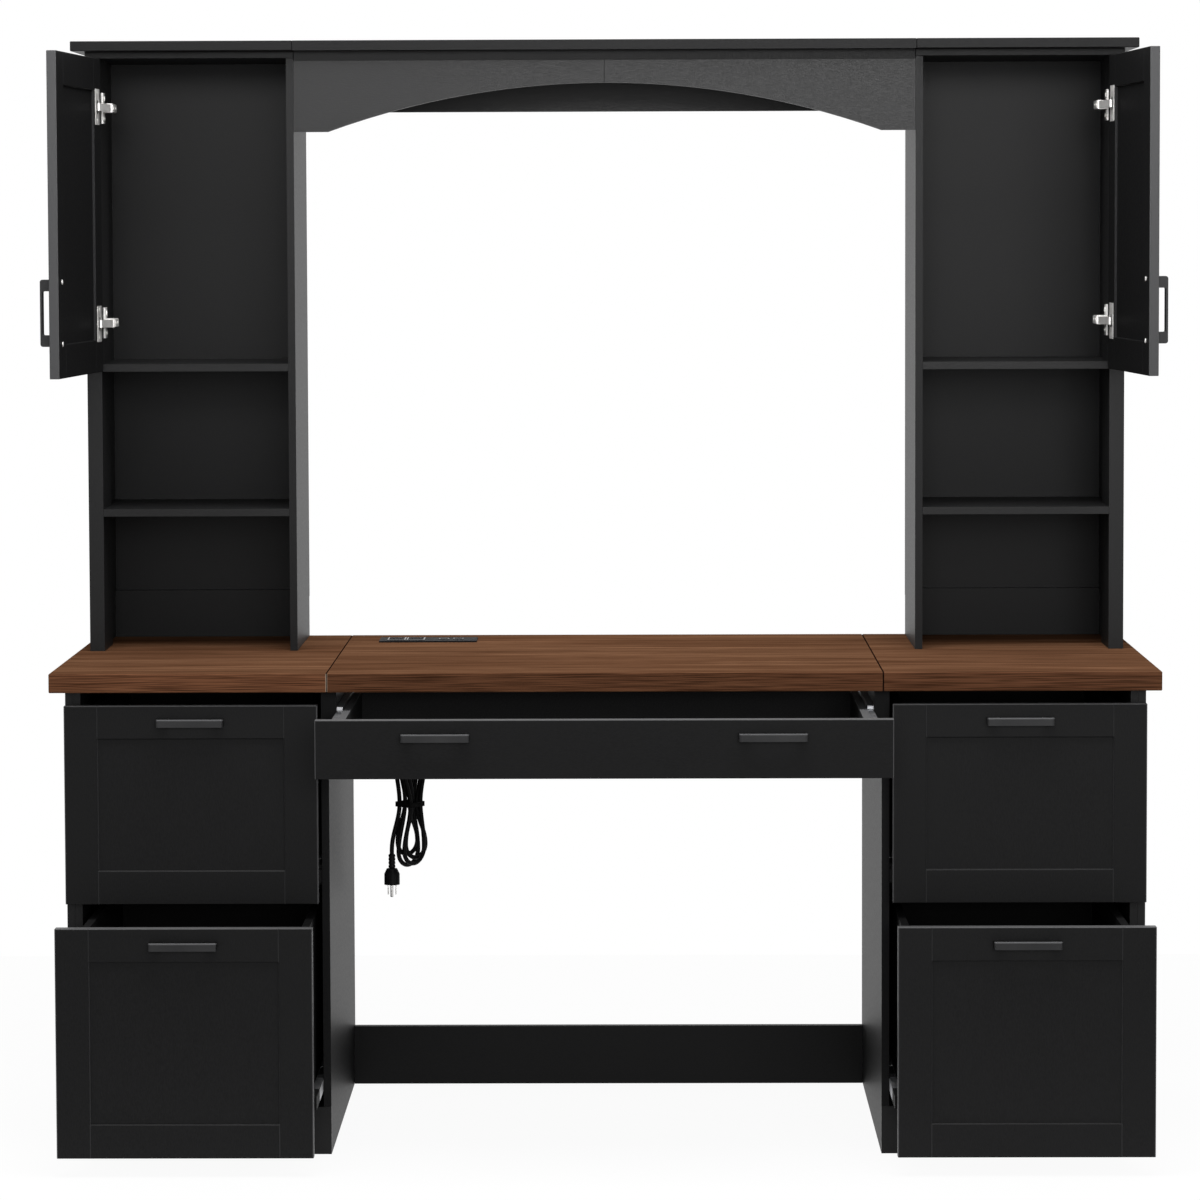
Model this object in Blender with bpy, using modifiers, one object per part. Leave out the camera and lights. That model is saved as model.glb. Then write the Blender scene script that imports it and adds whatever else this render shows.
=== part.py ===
"""Computer desk with a hutch: two drawer pedestals, a centre drawer and two door towers.

Metres, +Z up, +X to the right of someone sitting at the desk, +Y to the back.
The rest pose has both doors open, and the centre and lower drawers drawn out.
"""

import math

import bmesh
import bpy
from mathutils import Matrix, Vector

# Air between pieces that touch
CLR = 0.0003

# Desk: the top in three sections on two pedestals
DESK_W = 1.730
DESK_D = 0.580
DESK_H = 0.765
TOP_T = 0.030
CENTRE_W = 0.865
SIDE_OVERHANG = 0.020
PED_SET = 0.040
PANEL_T = 0.012
STRIP_T = 0.012
FRONT_STRIP_D = 0.100
BACK_STRIP_D = 0.060
BACK_T = 0.005
PLINTH_H = 0.075
TOP_GAP = 0.024
STRETCHER_H = 0.099
STRETCHER_SET = 0.012
CLEAT_H = 0.095
SINK = 0.001

# Hutch: two towers with a bay between them
HUTCH_D = 0.246
BAY_W = 1.010
GABLE_H = 0.966
LOW_SHELF_UP = 0.233
HIGH_SHELF_UP = 0.470
SHELF_T = 0.012
LOW_BACK_H = 0.079
SUB_TOP_T = 0.012
SUB_TOP_SET = 0.006
CENTRE_SUB_T = 0.016
CAP_T = 0.016
CAP_OVERHANG = 0.020
VALANCE_T = 0.015
VALANCE_H = 0.115
ARCH_W = 0.900
ARCH_RISE = 0.0785
ARCH_STEPS = 28
BACK_RAIL_H = 0.077

# Framed fronts and doors
FRONT_T = 0.015
FRAME_W = 0.052
RECESS = 0.004
EDGE_R = 0.0008
BOARD_R = 0.0012

# Doors and their concealed hinges
DOOR_W = 0.336
DOOR_REVEAL = 0.001
DOOR_GAP = 0.0012
DOOR_OPEN_DEG = 94.0
PIVOT_IN = 0.006
PIVOT_DEEP = 0.0224
HINGE_FROM_END = 0.078
PLATE_T = 0.003
PLATE_H = 0.050
PLATE_D = 0.022
ARM_H = 0.014
ARM_W = 0.016
ARM_L = 0.050
LINK_IN = 0.038
LINK_BACK = 0.006
LINK_H = 0.012
LINK_R = 0.004
LINK_TIP_R = 0.0025
LINK_TIP_IN = 0.029

# Drawers
FRONT_GAP = 0.0015
CENTRE_FRONT_W = 0.878
CENTRE_FRONT_H = 0.090
UPPER_FRONT_H = 0.3115
UPPER_RISE = 0.003
FRONT_SPACE = 0.0165
LOWER_FRONT_Z = 0.030
FRONT_INNER_GAP = 0.0035
FRONT_OUTER_GAP = 0.002
BOX_SIDE_T = 0.012
BOX_BOTTOM_T = 0.010
BOX_TOP_DROP = 0.005
PED_BOX_TOP_DROP = 0.008
PED_BOX_D = 0.450
CENTRE_BOX_D = 0.420
UPPER_BOX_UP = 0.020
LOWER_BOX_CLEAR = 0.015
CENTRE_BOX_UP = 0.008
CENTRE_PULL = 0.180
LOWER_PULL = 0.140
UPPER_PULL = 0.016

# Drawer slides: a bar on each side of the box between two strips on the carcass
SLIDE_W = 0.0127
RAIL_W = 0.0095
RAIL_T = 0.005
BAR_H = 0.020
RUNNER_IN = 0.006
PED_RUNNER_L = 0.450
CENTRE_RUNNER_L = 0.350
PED_RUNNER_UP = 0.020
CENTRE_RUNNER_UP = 0.062

# Bar pulls
PULL_L = 0.104
PULL_H = 0.012
PULL_OUT = 0.018
GRIP_T = 0.0035
FOOT_L = 0.018
PULL_R = 0.004
PULL_DROP = 0.026
CENTRE_PULL_IN = 0.183
DOOR_PULL_UP = 0.1015

# Power strip let into the centre top
STRIP_X = -0.2985
STRIP_BACK = 0.091
STRIP_L = 0.163
STRIP_W = 0.060
STRIP_BODY_L = 0.150
STRIP_BODY_W = 0.048
STRIP_BODY_H = 0.048
STRIP_RIM_H = 0.0025
HOLE_CLR = 0.001
SLOT_W = 0.002
SLOT_L = 0.007
SLOT_SPACE = 0.0127
EARTH_R = 0.0023
EARTH_DOWN = 0.0105
USB_L = 0.012
USB_W = 0.0016
USB_SPACE = 0.0034
OUTLET_X = (-0.053, -0.021)
USB_X = (0.026, 0.050)
GLAND_R = 0.0075
GLAND_TIP_R = 0.0052
GLAND_L = 0.022

# Supply cord: a short drop, then a tied hank of loops and the plug
CORD_D = 0.0075
HANK_X = -0.330
HANK_BACK = 0.090
HANK_Z = 0.490
HANK_LOOPS = 4
HANK_TURN = math.radians(50)
LOOP_POINTS = 24
BIGHT_R = 0.0240
RUN_HALF = 0.075
WAIST_IN = 0.0185
LOOP_PITCH = 0.009
LAYER_PITCH = 0.0083
GLAND_X = -0.353
FAN_X = (-0.007, 0.008, -0.003, 0.005)
FAN_Z = (1.00, 0.90, 1.06, 0.84)
TIE_H = 0.008
TIE_T = 0.0015
TIE_GAP = 0.0011
RELIEF_L = 0.024
RELIEF_R = 0.0058
RELIEF_RIBS = 4
RIB_R = 0.0008
PLUG_L = 0.027
PLUG_R = 0.0130
PLUG_NECK_R = 0.0088
PLUG_FLAT = 0.78
BLADE_W = 0.0063
BLADE_T = 0.0015
BLADE_L = 0.017
BLADE_SPACE = 0.0127
EARTH_PIN_R = 0.0024
EARTH_PIN_L = 0.020
EARTH_PIN_Y = 0.0058

# Places that follow from the sizes
UNDER_TOP = DESK_H - TOP_T
PED_OUT = DESK_W / 2 - SIDE_OVERHANG
KNEE = CENTRE_W / 2
PED_IN = KNEE + PANEL_T
STRIP_FACE = PED_OUT - PANEL_T - STRIP_T
GABLE_BACK = DESK_D - BACK_T - CLR
FACE_BACK = PED_SET - FRONT_GAP
FACE = FACE_BACK - FRONT_T
BOX_FRONT = FACE_BACK + CLR
FRONT_TOP = UNDER_TOP - TOP_GAP
HUTCH_FRONT = DESK_D - HUTCH_D
HUTCH_OUT = PED_OUT
BAY = BAY_W / 2
TOWER_IN = BAY + PANEL_T
TOWER_FACE = HUTCH_OUT - PANEL_T - STRIP_T
GABLE_TOP = DESK_H + GABLE_H
HIGH_SHELF_Z = DESK_H + HIGH_SHELF_UP
LOW_SHELF_Z = DESK_H + LOW_SHELF_UP
CAP_Z = GABLE_TOP + SUB_TOP_T
DOOR_Z0 = HIGH_SHELF_Z - SHELF_T + DOOR_REVEAL
DOOR_Z1 = GABLE_TOP - DOOR_REVEAL
DOOR_BACK = HUTCH_FRONT - DOOR_GAP
DOOR_FACE = DOOR_BACK - FRONT_T
PIVOT_X = HUTCH_OUT - PIVOT_IN
PIVOT_Y = DOOR_BACK - PIVOT_DEEP
HINGE_Z = (DOOR_Z0 + HINGE_FROM_END, DOOR_Z1 - HINGE_FROM_END)
FOREMOST = FACE - CENTRE_PULL - CLR - PULL_OUT
ORIGIN_Y = (FOREMOST + DESK_D) / 2

for old in list(bpy.data.objects):
    bpy.data.objects.remove(old, do_unlink=True)

PARTS = bpy.data.collections.new("computer_desk_with_hutch")
bpy.context.scene.collection.children.link(PARTS)
CUTTERS = bpy.data.collections.new("cutters")
bpy.context.scene.collection.children.link(CUTTERS)


def material(name, roughness, metallic=0.0, colour=(0.018, 0.018, 0.019)):
    """A plain shaded material in the piece's own colour."""
    made = bpy.data.materials.new(name)
    made.use_nodes = True
    shader = made.node_tree.nodes["Principled BSDF"]
    shader.inputs["Base Color"].default_value = (*colour, 1.0)
    shader.inputs["Roughness"].default_value = roughness
    shader.inputs["Metallic"].default_value = metallic
    return made


def empty(name, place, parent=None, turn=0.0):
    """An axis or frame that pieces hang from, turned about Z."""
    made = bpy.data.objects.new(name, None)
    made.empty_display_size = 0.05
    made.location = place
    made.rotation_euler = (0.0, 0.0, turn)
    made.parent = parent
    PARTS.objects.link(made)
    return made


ROOT = empty("desk_frame", (0.0, -ORIGIN_Y, 0.0))

# Turns of a flat outline: drawn in XY, in YZ or in XZ
PLANE = {
    "XY": Matrix.Identity(4),
    "YZ": Matrix.Rotation(math.pi / 2, 4, "Z") @ Matrix.Rotation(math.pi / 2, 4, "X"),
    "XZ": Matrix.Rotation(math.pi / 2, 4, "X"),
}
NORMAL = {"XY": Vector((0, 0, 1)), "YZ": Vector((1, 0, 0)), "XZ": Vector((0, 1, 0))}


def add_box(bm, low, high):
    """A box between two corners."""
    low, high = Vector(low), Vector(high)
    grow = Matrix.Diagonal((*(high - low), 1.0))
    return bmesh.ops.create_cube(bm, size=1.0, matrix=Matrix.Translation((low + high) / 2) @ grow)


def add_rod(bm, centre, radius, length, axis="Z", tip=None, sides=16):
    """A cylinder, or a cone with another radius at its far end."""
    turn = {"Z": Matrix.Identity(4), "Y": Matrix.Rotation(-math.pi / 2, 4, "X")}[axis]
    place = Matrix.Translation(Vector(centre)) @ turn
    far = radius if tip is None else tip
    bmesh.ops.create_cone(bm, cap_ends=True, segments=sides, radius1=radius, radius2=far,
                          depth=length, matrix=place)


def add_outline(bm, outlines, low, high, plane):
    """A flat outline, with any holes after it, extruded between two levels."""
    curve = bpy.data.curves.new("outline", "CURVE")
    curve.dimensions = "2D"
    curve.fill_mode = "BOTH"
    curve.extrude = (high - low) / 2
    for points in outlines:
        spline = curve.splines.new("POLY")
        spline.points.add(len(points) - 1)
        for point, (a, b) in zip(spline.points, points):
            point.co = (a, b, 0.0, 1.0)
        spline.use_cyclic_u = True
    drawn = bpy.data.objects.new("outline", curve)
    PARTS.objects.link(drawn)
    bpy.context.view_layer.update()
    mesh = bpy.data.meshes.new_from_object(drawn.evaluated_get(bpy.context.evaluated_depsgraph_get()))
    mesh.transform(Matrix.Translation(NORMAL[plane] * (low + high) / 2) @ PLANE[plane])
    start = len(bm.verts)
    bm.from_mesh(mesh)
    bm.verts.ensure_lookup_table()
    bmesh.ops.remove_doubles(bm, verts=bm.verts[start:], dist=0.00001)
    bpy.data.objects.remove(drawn)
    bpy.data.curves.remove(curve)
    bpy.data.meshes.remove(mesh)


def piece(name, bm, look, parent=None, home=(0.0, 0.0, 0.0), bevel=0.0, smooth=False):
    """Make the object, with its origin at the middle of its box, on its frame or axis."""
    lows = [min(v.co[k] for v in bm.verts) for k in range(3)]
    highs = [max(v.co[k] for v in bm.verts) for k in range(3)]
    middle = (Vector(lows) + Vector(highs)) / 2
    bmesh.ops.translate(bm, verts=bm.verts, vec=-middle)
    mesh = bpy.data.meshes.new(name)
    bm.to_mesh(mesh)
    bm.free()
    mesh.materials.append(look)
    if smooth:
        mesh.shade_smooth()
        mesh.set_sharp_from_angle(angle=math.radians(40))
    made = bpy.data.objects.new(name, mesh)
    PARTS.objects.link(made)
    made.parent = parent or ROOT
    made.location = middle - Vector(home)
    if bevel:
        round_edges(made, bevel)
    return made


def round_edges(made, width):
    """Ease the sharp edges of a board."""
    ease = made.modifiers.new("eased_edges", "BEVEL")
    ease.width = width
    ease.segments = 1
    ease.limit_method = "ANGLE"
    ease.angle_limit = math.radians(40)


def boards(name, boxes, look, **more):
    """One node of boards, each between two corners."""
    bm = bmesh.new()
    for low, high in boxes:
        add_box(bm, low, high)
    return piece(name, bm, look, **more)


def tool(name, target, operation, boxes, rods=(), home=(0.0, 0.0, 0.0)):
    """Join boxes and upright rods to a piece, or cut them out of it."""
    bm = bmesh.new()
    for low, high in boxes:
        add_box(bm, low, high)
    for centre, radius, length, tip in rods:
        add_rod(bm, centre, radius, length, tip=tip, sides=12)
    mesh = bpy.data.meshes.new(name)
    bm.to_mesh(mesh)
    bm.free()
    made = bpy.data.objects.new(name, mesh)
    CUTTERS.objects.link(made)
    made.parent = target.parent
    made.location = -Vector(home)
    made.hide_render = True
    made.display_type = "WIRE"
    use = target.modifiers.new(name, "BOOLEAN")
    use.operation = operation
    use.object = made


def span(side, inner, outer):
    """Lowest and highest X of a piece on one side (-1 left, 1 right)."""
    return (inner, outer) if side > 0 else (-outer, -inner)


def framed(bm, low, high, faces):
    """A panelled front or door: a slab whose middle is sunk on the named faces."""
    add_box(bm, low, high)
    for way in faces:
        bm.normal_update()
        face = max((f for f in bm.faces if f.normal.y * way > 0.9), key=lambda f: f.calc_area())
        bmesh.ops.inset_individual(bm, faces=[face], thickness=FRAME_W, use_even_offset=True)
        sunk = bmesh.ops.extrude_discrete_faces(bm, faces=[face])["faces"][0]
        bmesh.ops.translate(bm, verts=sunk.verts, vec=(0.0, -way * RECESS, 0.0))


def arc(cx, cy, radius, start, end, steps):
    """Points along a circular arc, in degrees."""
    turns = [math.radians(start + (end - start) * k / steps) for k in range(steps + 1)]
    return [(cx + radius * math.cos(a), cy + radius * math.sin(a)) for a in turns]


def pull_outline(middle, face):
    """Plan of a bar pull whose feet stand on a face and whose grip is in front of it."""
    a, b = middle - PULL_L / 2, middle + PULL_L / 2
    out = face - PULL_OUT
    under = out + GRIP_T
    ease = PULL_R / 2
    points = [(a, face), (a, out + PULL_R)]
    points += arc(a + PULL_R, out + PULL_R, PULL_R, 180, 270, 4)[1:]
    points += arc(b - PULL_R, out + PULL_R, PULL_R, 270, 360, 4)
    points += [(b, face), (b - FOOT_L, face)]
    points += arc(b - FOOT_L - ease, under + ease, ease, 0, -90, 3)
    points += arc(a + FOOT_L + ease, under + ease, ease, 270, 180, 3)
    points += [(a + FOOT_L, face)]
    return points


# Desk top: three boards side by side, the centre one cut through for the power strip
wood = material("walnut_board", 0.42, colour=(0.150, 0.066, 0.036))
for name, x0, x1 in (("desktop_left", -DESK_W / 2, -KNEE - CLR / 2),
                     ("desktop_right", KNEE + CLR / 2, DESK_W / 2)):
    boards(name, [((x0, 0.0, UNDER_TOP), (x1, DESK_D, DESK_H))], wood, bevel=BOARD_R)

STRIP_Y = DESK_D - STRIP_BACK
centre_top = boards("desktop_centre", [((-KNEE + CLR / 2, 0.0, UNDER_TOP),
                                        (KNEE - CLR / 2, DESK_D, DESK_H))], wood)


hole_l = STRIP_BODY_L / 2 + HOLE_CLR
hole_w = STRIP_BODY_W / 2 + HOLE_CLR
tool("power_strip_hole", centre_top, "DIFFERENCE",
     [((STRIP_X - hole_l, STRIP_Y - hole_w, UNDER_TOP - TOP_T),
       (STRIP_X + hole_l, STRIP_Y + hole_w, DESK_H + TOP_T))])
round_edges(centre_top, BOARD_R)

# Drawers: bay, front, lowest and highest point of the front, lowest point of the box, travel
CLEAT_FACE = KNEE - PANEL_T
inner_front = PED_IN + FRONT_INNER_GAP
outer_front = PED_OUT - FRONT_OUTER_GAP
upper_top = FRONT_TOP + UPPER_RISE
upper_z = upper_top - UPPER_FRONT_H
lower_top = upper_z - FRONT_SPACE
DRAWERS = []
for side, end in ((-1, "left"), (1, "right")):
    bay = span(side, PED_IN, STRIP_FACE)
    front = span(side, inner_front, outer_front)
    DRAWERS.append(("upper_" + end, bay, front, upper_z, upper_top, upper_z + UPPER_BOX_UP,
                    UPPER_PULL, True))
    DRAWERS.append(("lower_" + end, bay, front, LOWER_FRONT_Z, lower_top, PLINTH_H + LOWER_BOX_CLEAR,
                    LOWER_PULL, True))
DRAWERS.append(("centre", (-CLEAT_FACE, CLEAT_FACE), (-CENTRE_FRONT_W / 2, CENTRE_FRONT_W / 2),
                FRONT_TOP - CENTRE_FRONT_H, FRONT_TOP, FRONT_TOP - CENTRE_FRONT_H + CENTRE_BOX_UP,
                CENTRE_PULL, False))


def rails(mid, near, far, begin, length):
    """Two strips that hold a slide bar between them, on a carcass face."""
    x0, x1 = min(near, far), max(near, far)
    under = mid - BAR_H / 2 - CLR
    above = mid + BAR_H / 2 + CLR
    return [((x0, begin, under - RAIL_T), (x1, begin + length, under)),
            ((x0, begin, above), (x1, begin + length, above + RAIL_T))]


# Pedestals: gables with the rails of the drawers, a front frame and a back
RAIL_Y = PED_SET + RUNNER_IN
for side, end in ((-1, "left"), (1, "right")):
    mids = [d[5] + PED_RUNNER_UP for d in DRAWERS if d[0].endswith(end)]
    centre_mid = DRAWERS[-1][5] + CENTRE_RUNNER_UP
    inside = PED_OUT - PANEL_T
    strip_end = PED_SET + FRONT_STRIP_D

    # Outer gable: its rails pass the front frame's strip and then widen to reach the panel
    x0, x1 = span(side, inside, PED_OUT)
    gable = boards("ped_outer_gable_" + end, [((x0, PED_SET, 0.0), (x1, GABLE_BACK, UNDER_TOP - CLR))],
                   material("black_gable_outer_" + end, 0.55))
    x0, x1 = span(side, STRIP_FACE, inside + SINK)
    add = [((x0, GABLE_BACK - BACK_STRIP_D, 0.0), (x1, GABLE_BACK, UNDER_TOP - CLR))]
    wide = strip_end + CLR
    tip = STRIP_FACE - RAIL_W
    for mid in mids:
        add += rails(mid, side * tip, side * (STRIP_FACE - CLR), RAIL_Y, wide - RAIL_Y + SINK)
    tool("outer_rail_fronts_" + end, gable, "UNION", add)
    add = []
    for mid in mids:
        add += rails(mid, side * tip, side * (inside + SINK), wide, PED_RUNNER_L - wide + RAIL_Y)
    tool("outer_rails_" + end, gable, "UNION", add)

    # Inner gable: notched for the plinth, with a cleat under the centre top
    notch = PED_SET + PANEL_T + CLR
    profile = [(notch, 0.0), (GABLE_BACK, 0.0), (GABLE_BACK, UNDER_TOP - CLR),
               (PED_SET, UNDER_TOP - CLR), (PED_SET, PLINTH_H + CLR), (notch, PLINTH_H + CLR)]
    bm = bmesh.new()
    add_outline(bm, [profile], *span(side, KNEE, PED_IN), "YZ")
    gable = piece("ped_inner_gable_" + end, bm, material("black_gable_inner_" + end, 0.55))
    x0, x1 = span(side, CLEAT_FACE, KNEE + SINK)
    add = [((x0, PED_SET, UNDER_TOP - CLEAT_H), (x1, GABLE_BACK, UNDER_TOP - CLR))]
    for mid in mids:
        add += rails(mid, side * (PED_IN - SINK), side * (PED_IN + RAIL_W), RAIL_Y, PED_RUNNER_L)
    tool("inner_rails_" + end, gable, "UNION", add)
    add = rails(centre_mid, side * (CLEAT_FACE + SINK), side * (CLEAT_FACE - RAIL_W), RAIL_Y, CENTRE_RUNNER_L)
    tool("centre_rails_" + end, gable, "UNION", add)

    # Front frame: the plinth joined to the strip that thickens the outer gable and to the pedestal's bottom
    x0, x1 = span(side, STRIP_FACE, inside - CLR)
    frame = boards("ped_front_frame_" + end, [((x0, PED_SET, 0.0), (x1, strip_end, UNDER_TOP - CLR))],
                   material("black_front_frame_" + end, 0.55))
    x0, x1 = span(side, KNEE, STRIP_FACE + SINK)
    tool("plinth_" + end, frame, "UNION", [((x0, PED_SET, 0.0), (x1, PED_SET + PANEL_T, PLINTH_H))])
    x0, x1 = span(side, PED_IN + CLR, STRIP_FACE - CLR)
    bottom_z = PLINTH_H - PANEL_T
    tool("bottom_" + end, frame, "UNION",
         [((x0, PED_SET + PANEL_T - SINK, bottom_z), (x1, GABLE_BACK, PLINTH_H))])
    x0, x1 = span(side, STRIP_FACE - CLR - SINK, inside - CLR)
    tool("bottom_side_" + end, frame, "UNION",
         [((x0, strip_end - SINK, bottom_z), (x1, GABLE_BACK - BACK_STRIP_D - CLR, PLINTH_H))])
    x0, x1 = span(side, KNEE, PED_OUT)
    boards("ped_back_" + end, [((x0, DESK_D - BACK_T, PLINTH_H), (x1, DESK_D, UNDER_TOP - CLR))],
           material("black_back_" + end, 0.6))

low_y = DESK_D - STRETCHER_SET - PANEL_T
boards("stretcher", [((-KNEE + CLR, low_y, 0.0), (KNEE - CLR, low_y + PANEL_T, STRETCHER_H))],
       material("black_stretcher", 0.55))

# Hutch towers
low = DESK_H + CLR
for side, end in ((-1, "left"), (1, "right")):
    inside = HUTCH_OUT - PANEL_T
    plan = [(HUTCH_OUT, HUTCH_FRONT), (HUTCH_OUT, GABLE_BACK), (inside, GABLE_BACK),
            (inside, HUTCH_FRONT + FRONT_STRIP_D), (TOWER_FACE, HUTCH_FRONT + FRONT_STRIP_D),
            (TOWER_FACE, HUTCH_FRONT)]
    bm = bmesh.new()
    add_outline(bm, [[(side * x, y) for x, y in plan]], low, GABLE_TOP, "XY")
    piece("hutch_outer_gable_" + end, bm, material("black_tower_outer_" + end, 0.55))
    x0, x1 = span(side, BAY, TOWER_IN)
    boards("hutch_inner_gable_" + end, [((x0, HUTCH_FRONT, low), (x1, GABLE_BACK, GABLE_TOP))],
           material("black_tower_inner_" + end, 0.55))

shelf_plan = [(TOWER_IN + CLR, HUTCH_FRONT), (TOWER_FACE - CLR, HUTCH_FRONT),
              (TOWER_FACE - CLR, HUTCH_FRONT + FRONT_STRIP_D + CLR),
              (HUTCH_OUT - PANEL_T - CLR, HUTCH_FRONT + FRONT_STRIP_D + CLR),
              (HUTCH_OUT - PANEL_T - CLR, GABLE_BACK), (TOWER_IN + CLR, GABLE_BACK)]
sub_y = HUTCH_FRONT + SUB_TOP_SET
cap_y = HUTCH_FRONT - CAP_OVERHANG
cap_x = HUTCH_OUT + CAP_OVERHANG
for side, end in ((-1, "left"), (1, "right")):
    for level, top in (("low", LOW_SHELF_Z), ("high", HIGH_SHELF_Z)):
        bm = bmesh.new()
        add_outline(bm, [[(side * x, y) for x, y in shelf_plan]], top - SHELF_T, top, "XY")
        piece("shelf_" + level + "_" + end, bm, material("black_shelf_" + level + end, 0.5))

    # Back: a thin panel over the gables' edges and a thicker rail below it between them
    x0, x1 = span(side, BAY, HUTCH_OUT)
    low_back = DESK_H + LOW_BACK_H
    back = boards("tower_back_" + end, [((x0, DESK_D - BACK_T, low_back - PANEL_T),
                                         (x1, DESK_D, CAP_Z - BOARD_R - CLR))],
                  material("black_tower_back_" + end, 0.6))
    x0, x1 = span(side, TOWER_IN + CLR, HUTCH_OUT - PANEL_T - CLR)
    tool("low_back_" + end, back, "UNION",
         [((x0, GABLE_BACK - PANEL_T, low), (x1, DESK_D - BACK_T + SINK, low_back))])

    # Top: the overhanging cap with its narrower board under it
    x0, x1 = span(side, BAY + CLR / 2, cap_x)
    cap = boards("hutch_top_" + end, [((x0, cap_y, CAP_Z), (x1, DESK_D, CAP_Z + CAP_T))],
                 material("black_cap_" + end, 0.5))
    x0, x1 = span(side, BAY + CLR / 2, HUTCH_OUT)
    tool("sub_top_" + end, cap, "UNION", [((x0, sub_y, GABLE_TOP + CLR), (x1, GABLE_BACK, CAP_Z + SINK))])
    round_edges(cap, BOARD_R)

half = BAY - CLR / 2
cap = boards("hutch_top_centre", [((-half, cap_y, CAP_Z), (half, DESK_D, CAP_Z + CAP_T))],
             material("black_cap_centre", 0.5))
tool("sub_top_centre", cap, "UNION",
     [((-BAY + CLR, sub_y, CAP_Z - CENTRE_SUB_T), (BAY - CLR, GABLE_BACK, CAP_Z + SINK))])
round_edges(cap, BOARD_R)

# Valance: a board with an arch cut out of its lower edge, and the rail at the back of the bay
valance_top = CAP_Z - CENTRE_SUB_T - CLR
valance_low = valance_top - VALANCE_H
arch_r = (ARCH_W ** 2 / 4 + ARCH_RISE ** 2) / (2 * ARCH_RISE)
arch_z = valance_low + ARCH_RISE - arch_r
sweep = math.degrees(math.asin(ARCH_W / 2 / arch_r))
outline = [(-BAY + CLR, valance_low), (-BAY + CLR, valance_top), (BAY - CLR, valance_top),
           (BAY - CLR, valance_low)] + arc(0.0, arch_z, arch_r, 90 - sweep, 90 + sweep, ARCH_STEPS)
bm = bmesh.new()
add_outline(bm, [outline], HUTCH_FRONT, HUTCH_FRONT + VALANCE_T, "XZ")
piece("valance", bm, material("black_valance", 0.55))
boards("hutch_back_rail", [((-BAY + CLR, GABLE_BACK - PANEL_T, valance_top - BACK_RAIL_H),
                            (BAY - CLR, GABLE_BACK, valance_top))], material("black_back_rail", 0.6))

# Doors: each turns on an upright axis near its outer front corner
nickel = material("nickel_hinge", 0.25, 1.0, (0.80, 0.80, 0.79))
LINK_X = HUTCH_OUT - LINK_IN
LINK_Y = HUTCH_FRONT + LINK_BACK
for side, end in ((-1, "left"), (1, "right")):
    open_turn = side * math.radians(DOOR_OPEN_DEG)
    home = Vector((side * PIVOT_X, PIVOT_Y, 0.0))
    axis = empty("door_axis_" + end, home, ROOT, open_turn)
    x0, x1 = span(side, HUTCH_OUT - DOOR_W, HUTCH_OUT)
    bm = bmesh.new()
    framed(bm, (x0, DOOR_FACE, DOOR_Z0), (x1, DOOR_BACK, DOOR_Z1), (-1, 1))
    piece("door_" + end, bm, material("black_door_" + end, 0.5), axis, home, EDGE_R)

    # Upright bar pull on the free stile
    pull_x = side * (HUTCH_OUT - DOOR_W + FRAME_W / 2)
    plan = [(y, z) for z, y in pull_outline(DOOR_Z0 + DOOR_PULL_UP, DOOR_FACE - CLR)]
    bm = bmesh.new()
    add_outline(bm, [plan], pull_x - PULL_H / 2, pull_x + PULL_H / 2, "YZ")
    piece("door_handle_" + end, bm, material("black_door_pull_" + end, 0.35, 0.3), axis, home,
          smooth=True)

    # Concealed hinges: a link turns on an arm inside the tower and reaches the open door's stile
    tip = Vector((side * (HUTCH_OUT - LINK_TIP_IN), DOOR_BACK + CLR + LINK_TIP_R, 0.0))
    tip = home + Matrix.Rotation(open_turn, 3, "Z") @ (tip - home)
    pin = Vector((side * LINK_X, LINK_Y, 0.0))
    reach = tip - pin
    heading = math.atan2(reach.y, reach.x)
    link_axis = empty("hinge_link_axis_" + end, pin, ROOT)
    bend = math.degrees(math.acos((LINK_R - LINK_TIP_R) / reach.length))
    outline = arc(0.0, 0.0, LINK_R, bend, 360 - bend, 10)
    outline += arc(reach.length, 0.0, LINK_TIP_R, -bend, bend, 6)
    flat = [Matrix.Rotation(heading, 2) @ Vector(p) + pin.xy for p in outline]
    back = LINK_Y + LINK_R + CLR
    plate = span(side, TOWER_FACE - CLR - PLATE_T, TOWER_FACE - CLR)
    arm = span(side, TOWER_FACE - CLR - PLATE_T - ARM_W, TOWER_FACE - CLR - PLATE_T + SINK)
    for z, level in zip(HINGE_Z, ("low", "high")):
        bm = bmesh.new()
        add_outline(bm, [flat], z - LINK_H / 2, z + LINK_H / 2, "XY")
        piece("hinge_link_" + level + "_" + end, bm, nickel, link_axis, pin, smooth=True)
        mid = back + ARM_L / 2
        mount = boards("hinge_arm_" + level + "_" + end,
                       [((plate[0], mid - PLATE_D / 2, z - PLATE_H / 2),
                         (plate[1], mid + PLATE_D / 2, z + PLATE_H / 2))], nickel)
        tool("arm_" + level + "_" + end, mount, "UNION",
             [((arm[0], back, z - ARM_H / 2), (arm[1], back + ARM_L, z + ARM_H / 2))])
    print("door", end, "pivot mm", round(home.x * 1000, 2), round((home.y - ORIGIN_Y) * 1000, 2),
          "link pin mm", round(pin.x * 1000, 2), round((pin.y - ORIGIN_Y) * 1000, 2),
          "link heading", round(math.degrees(heading), 3), "reach mm", round(reach.length * 1000, 2))

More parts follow.
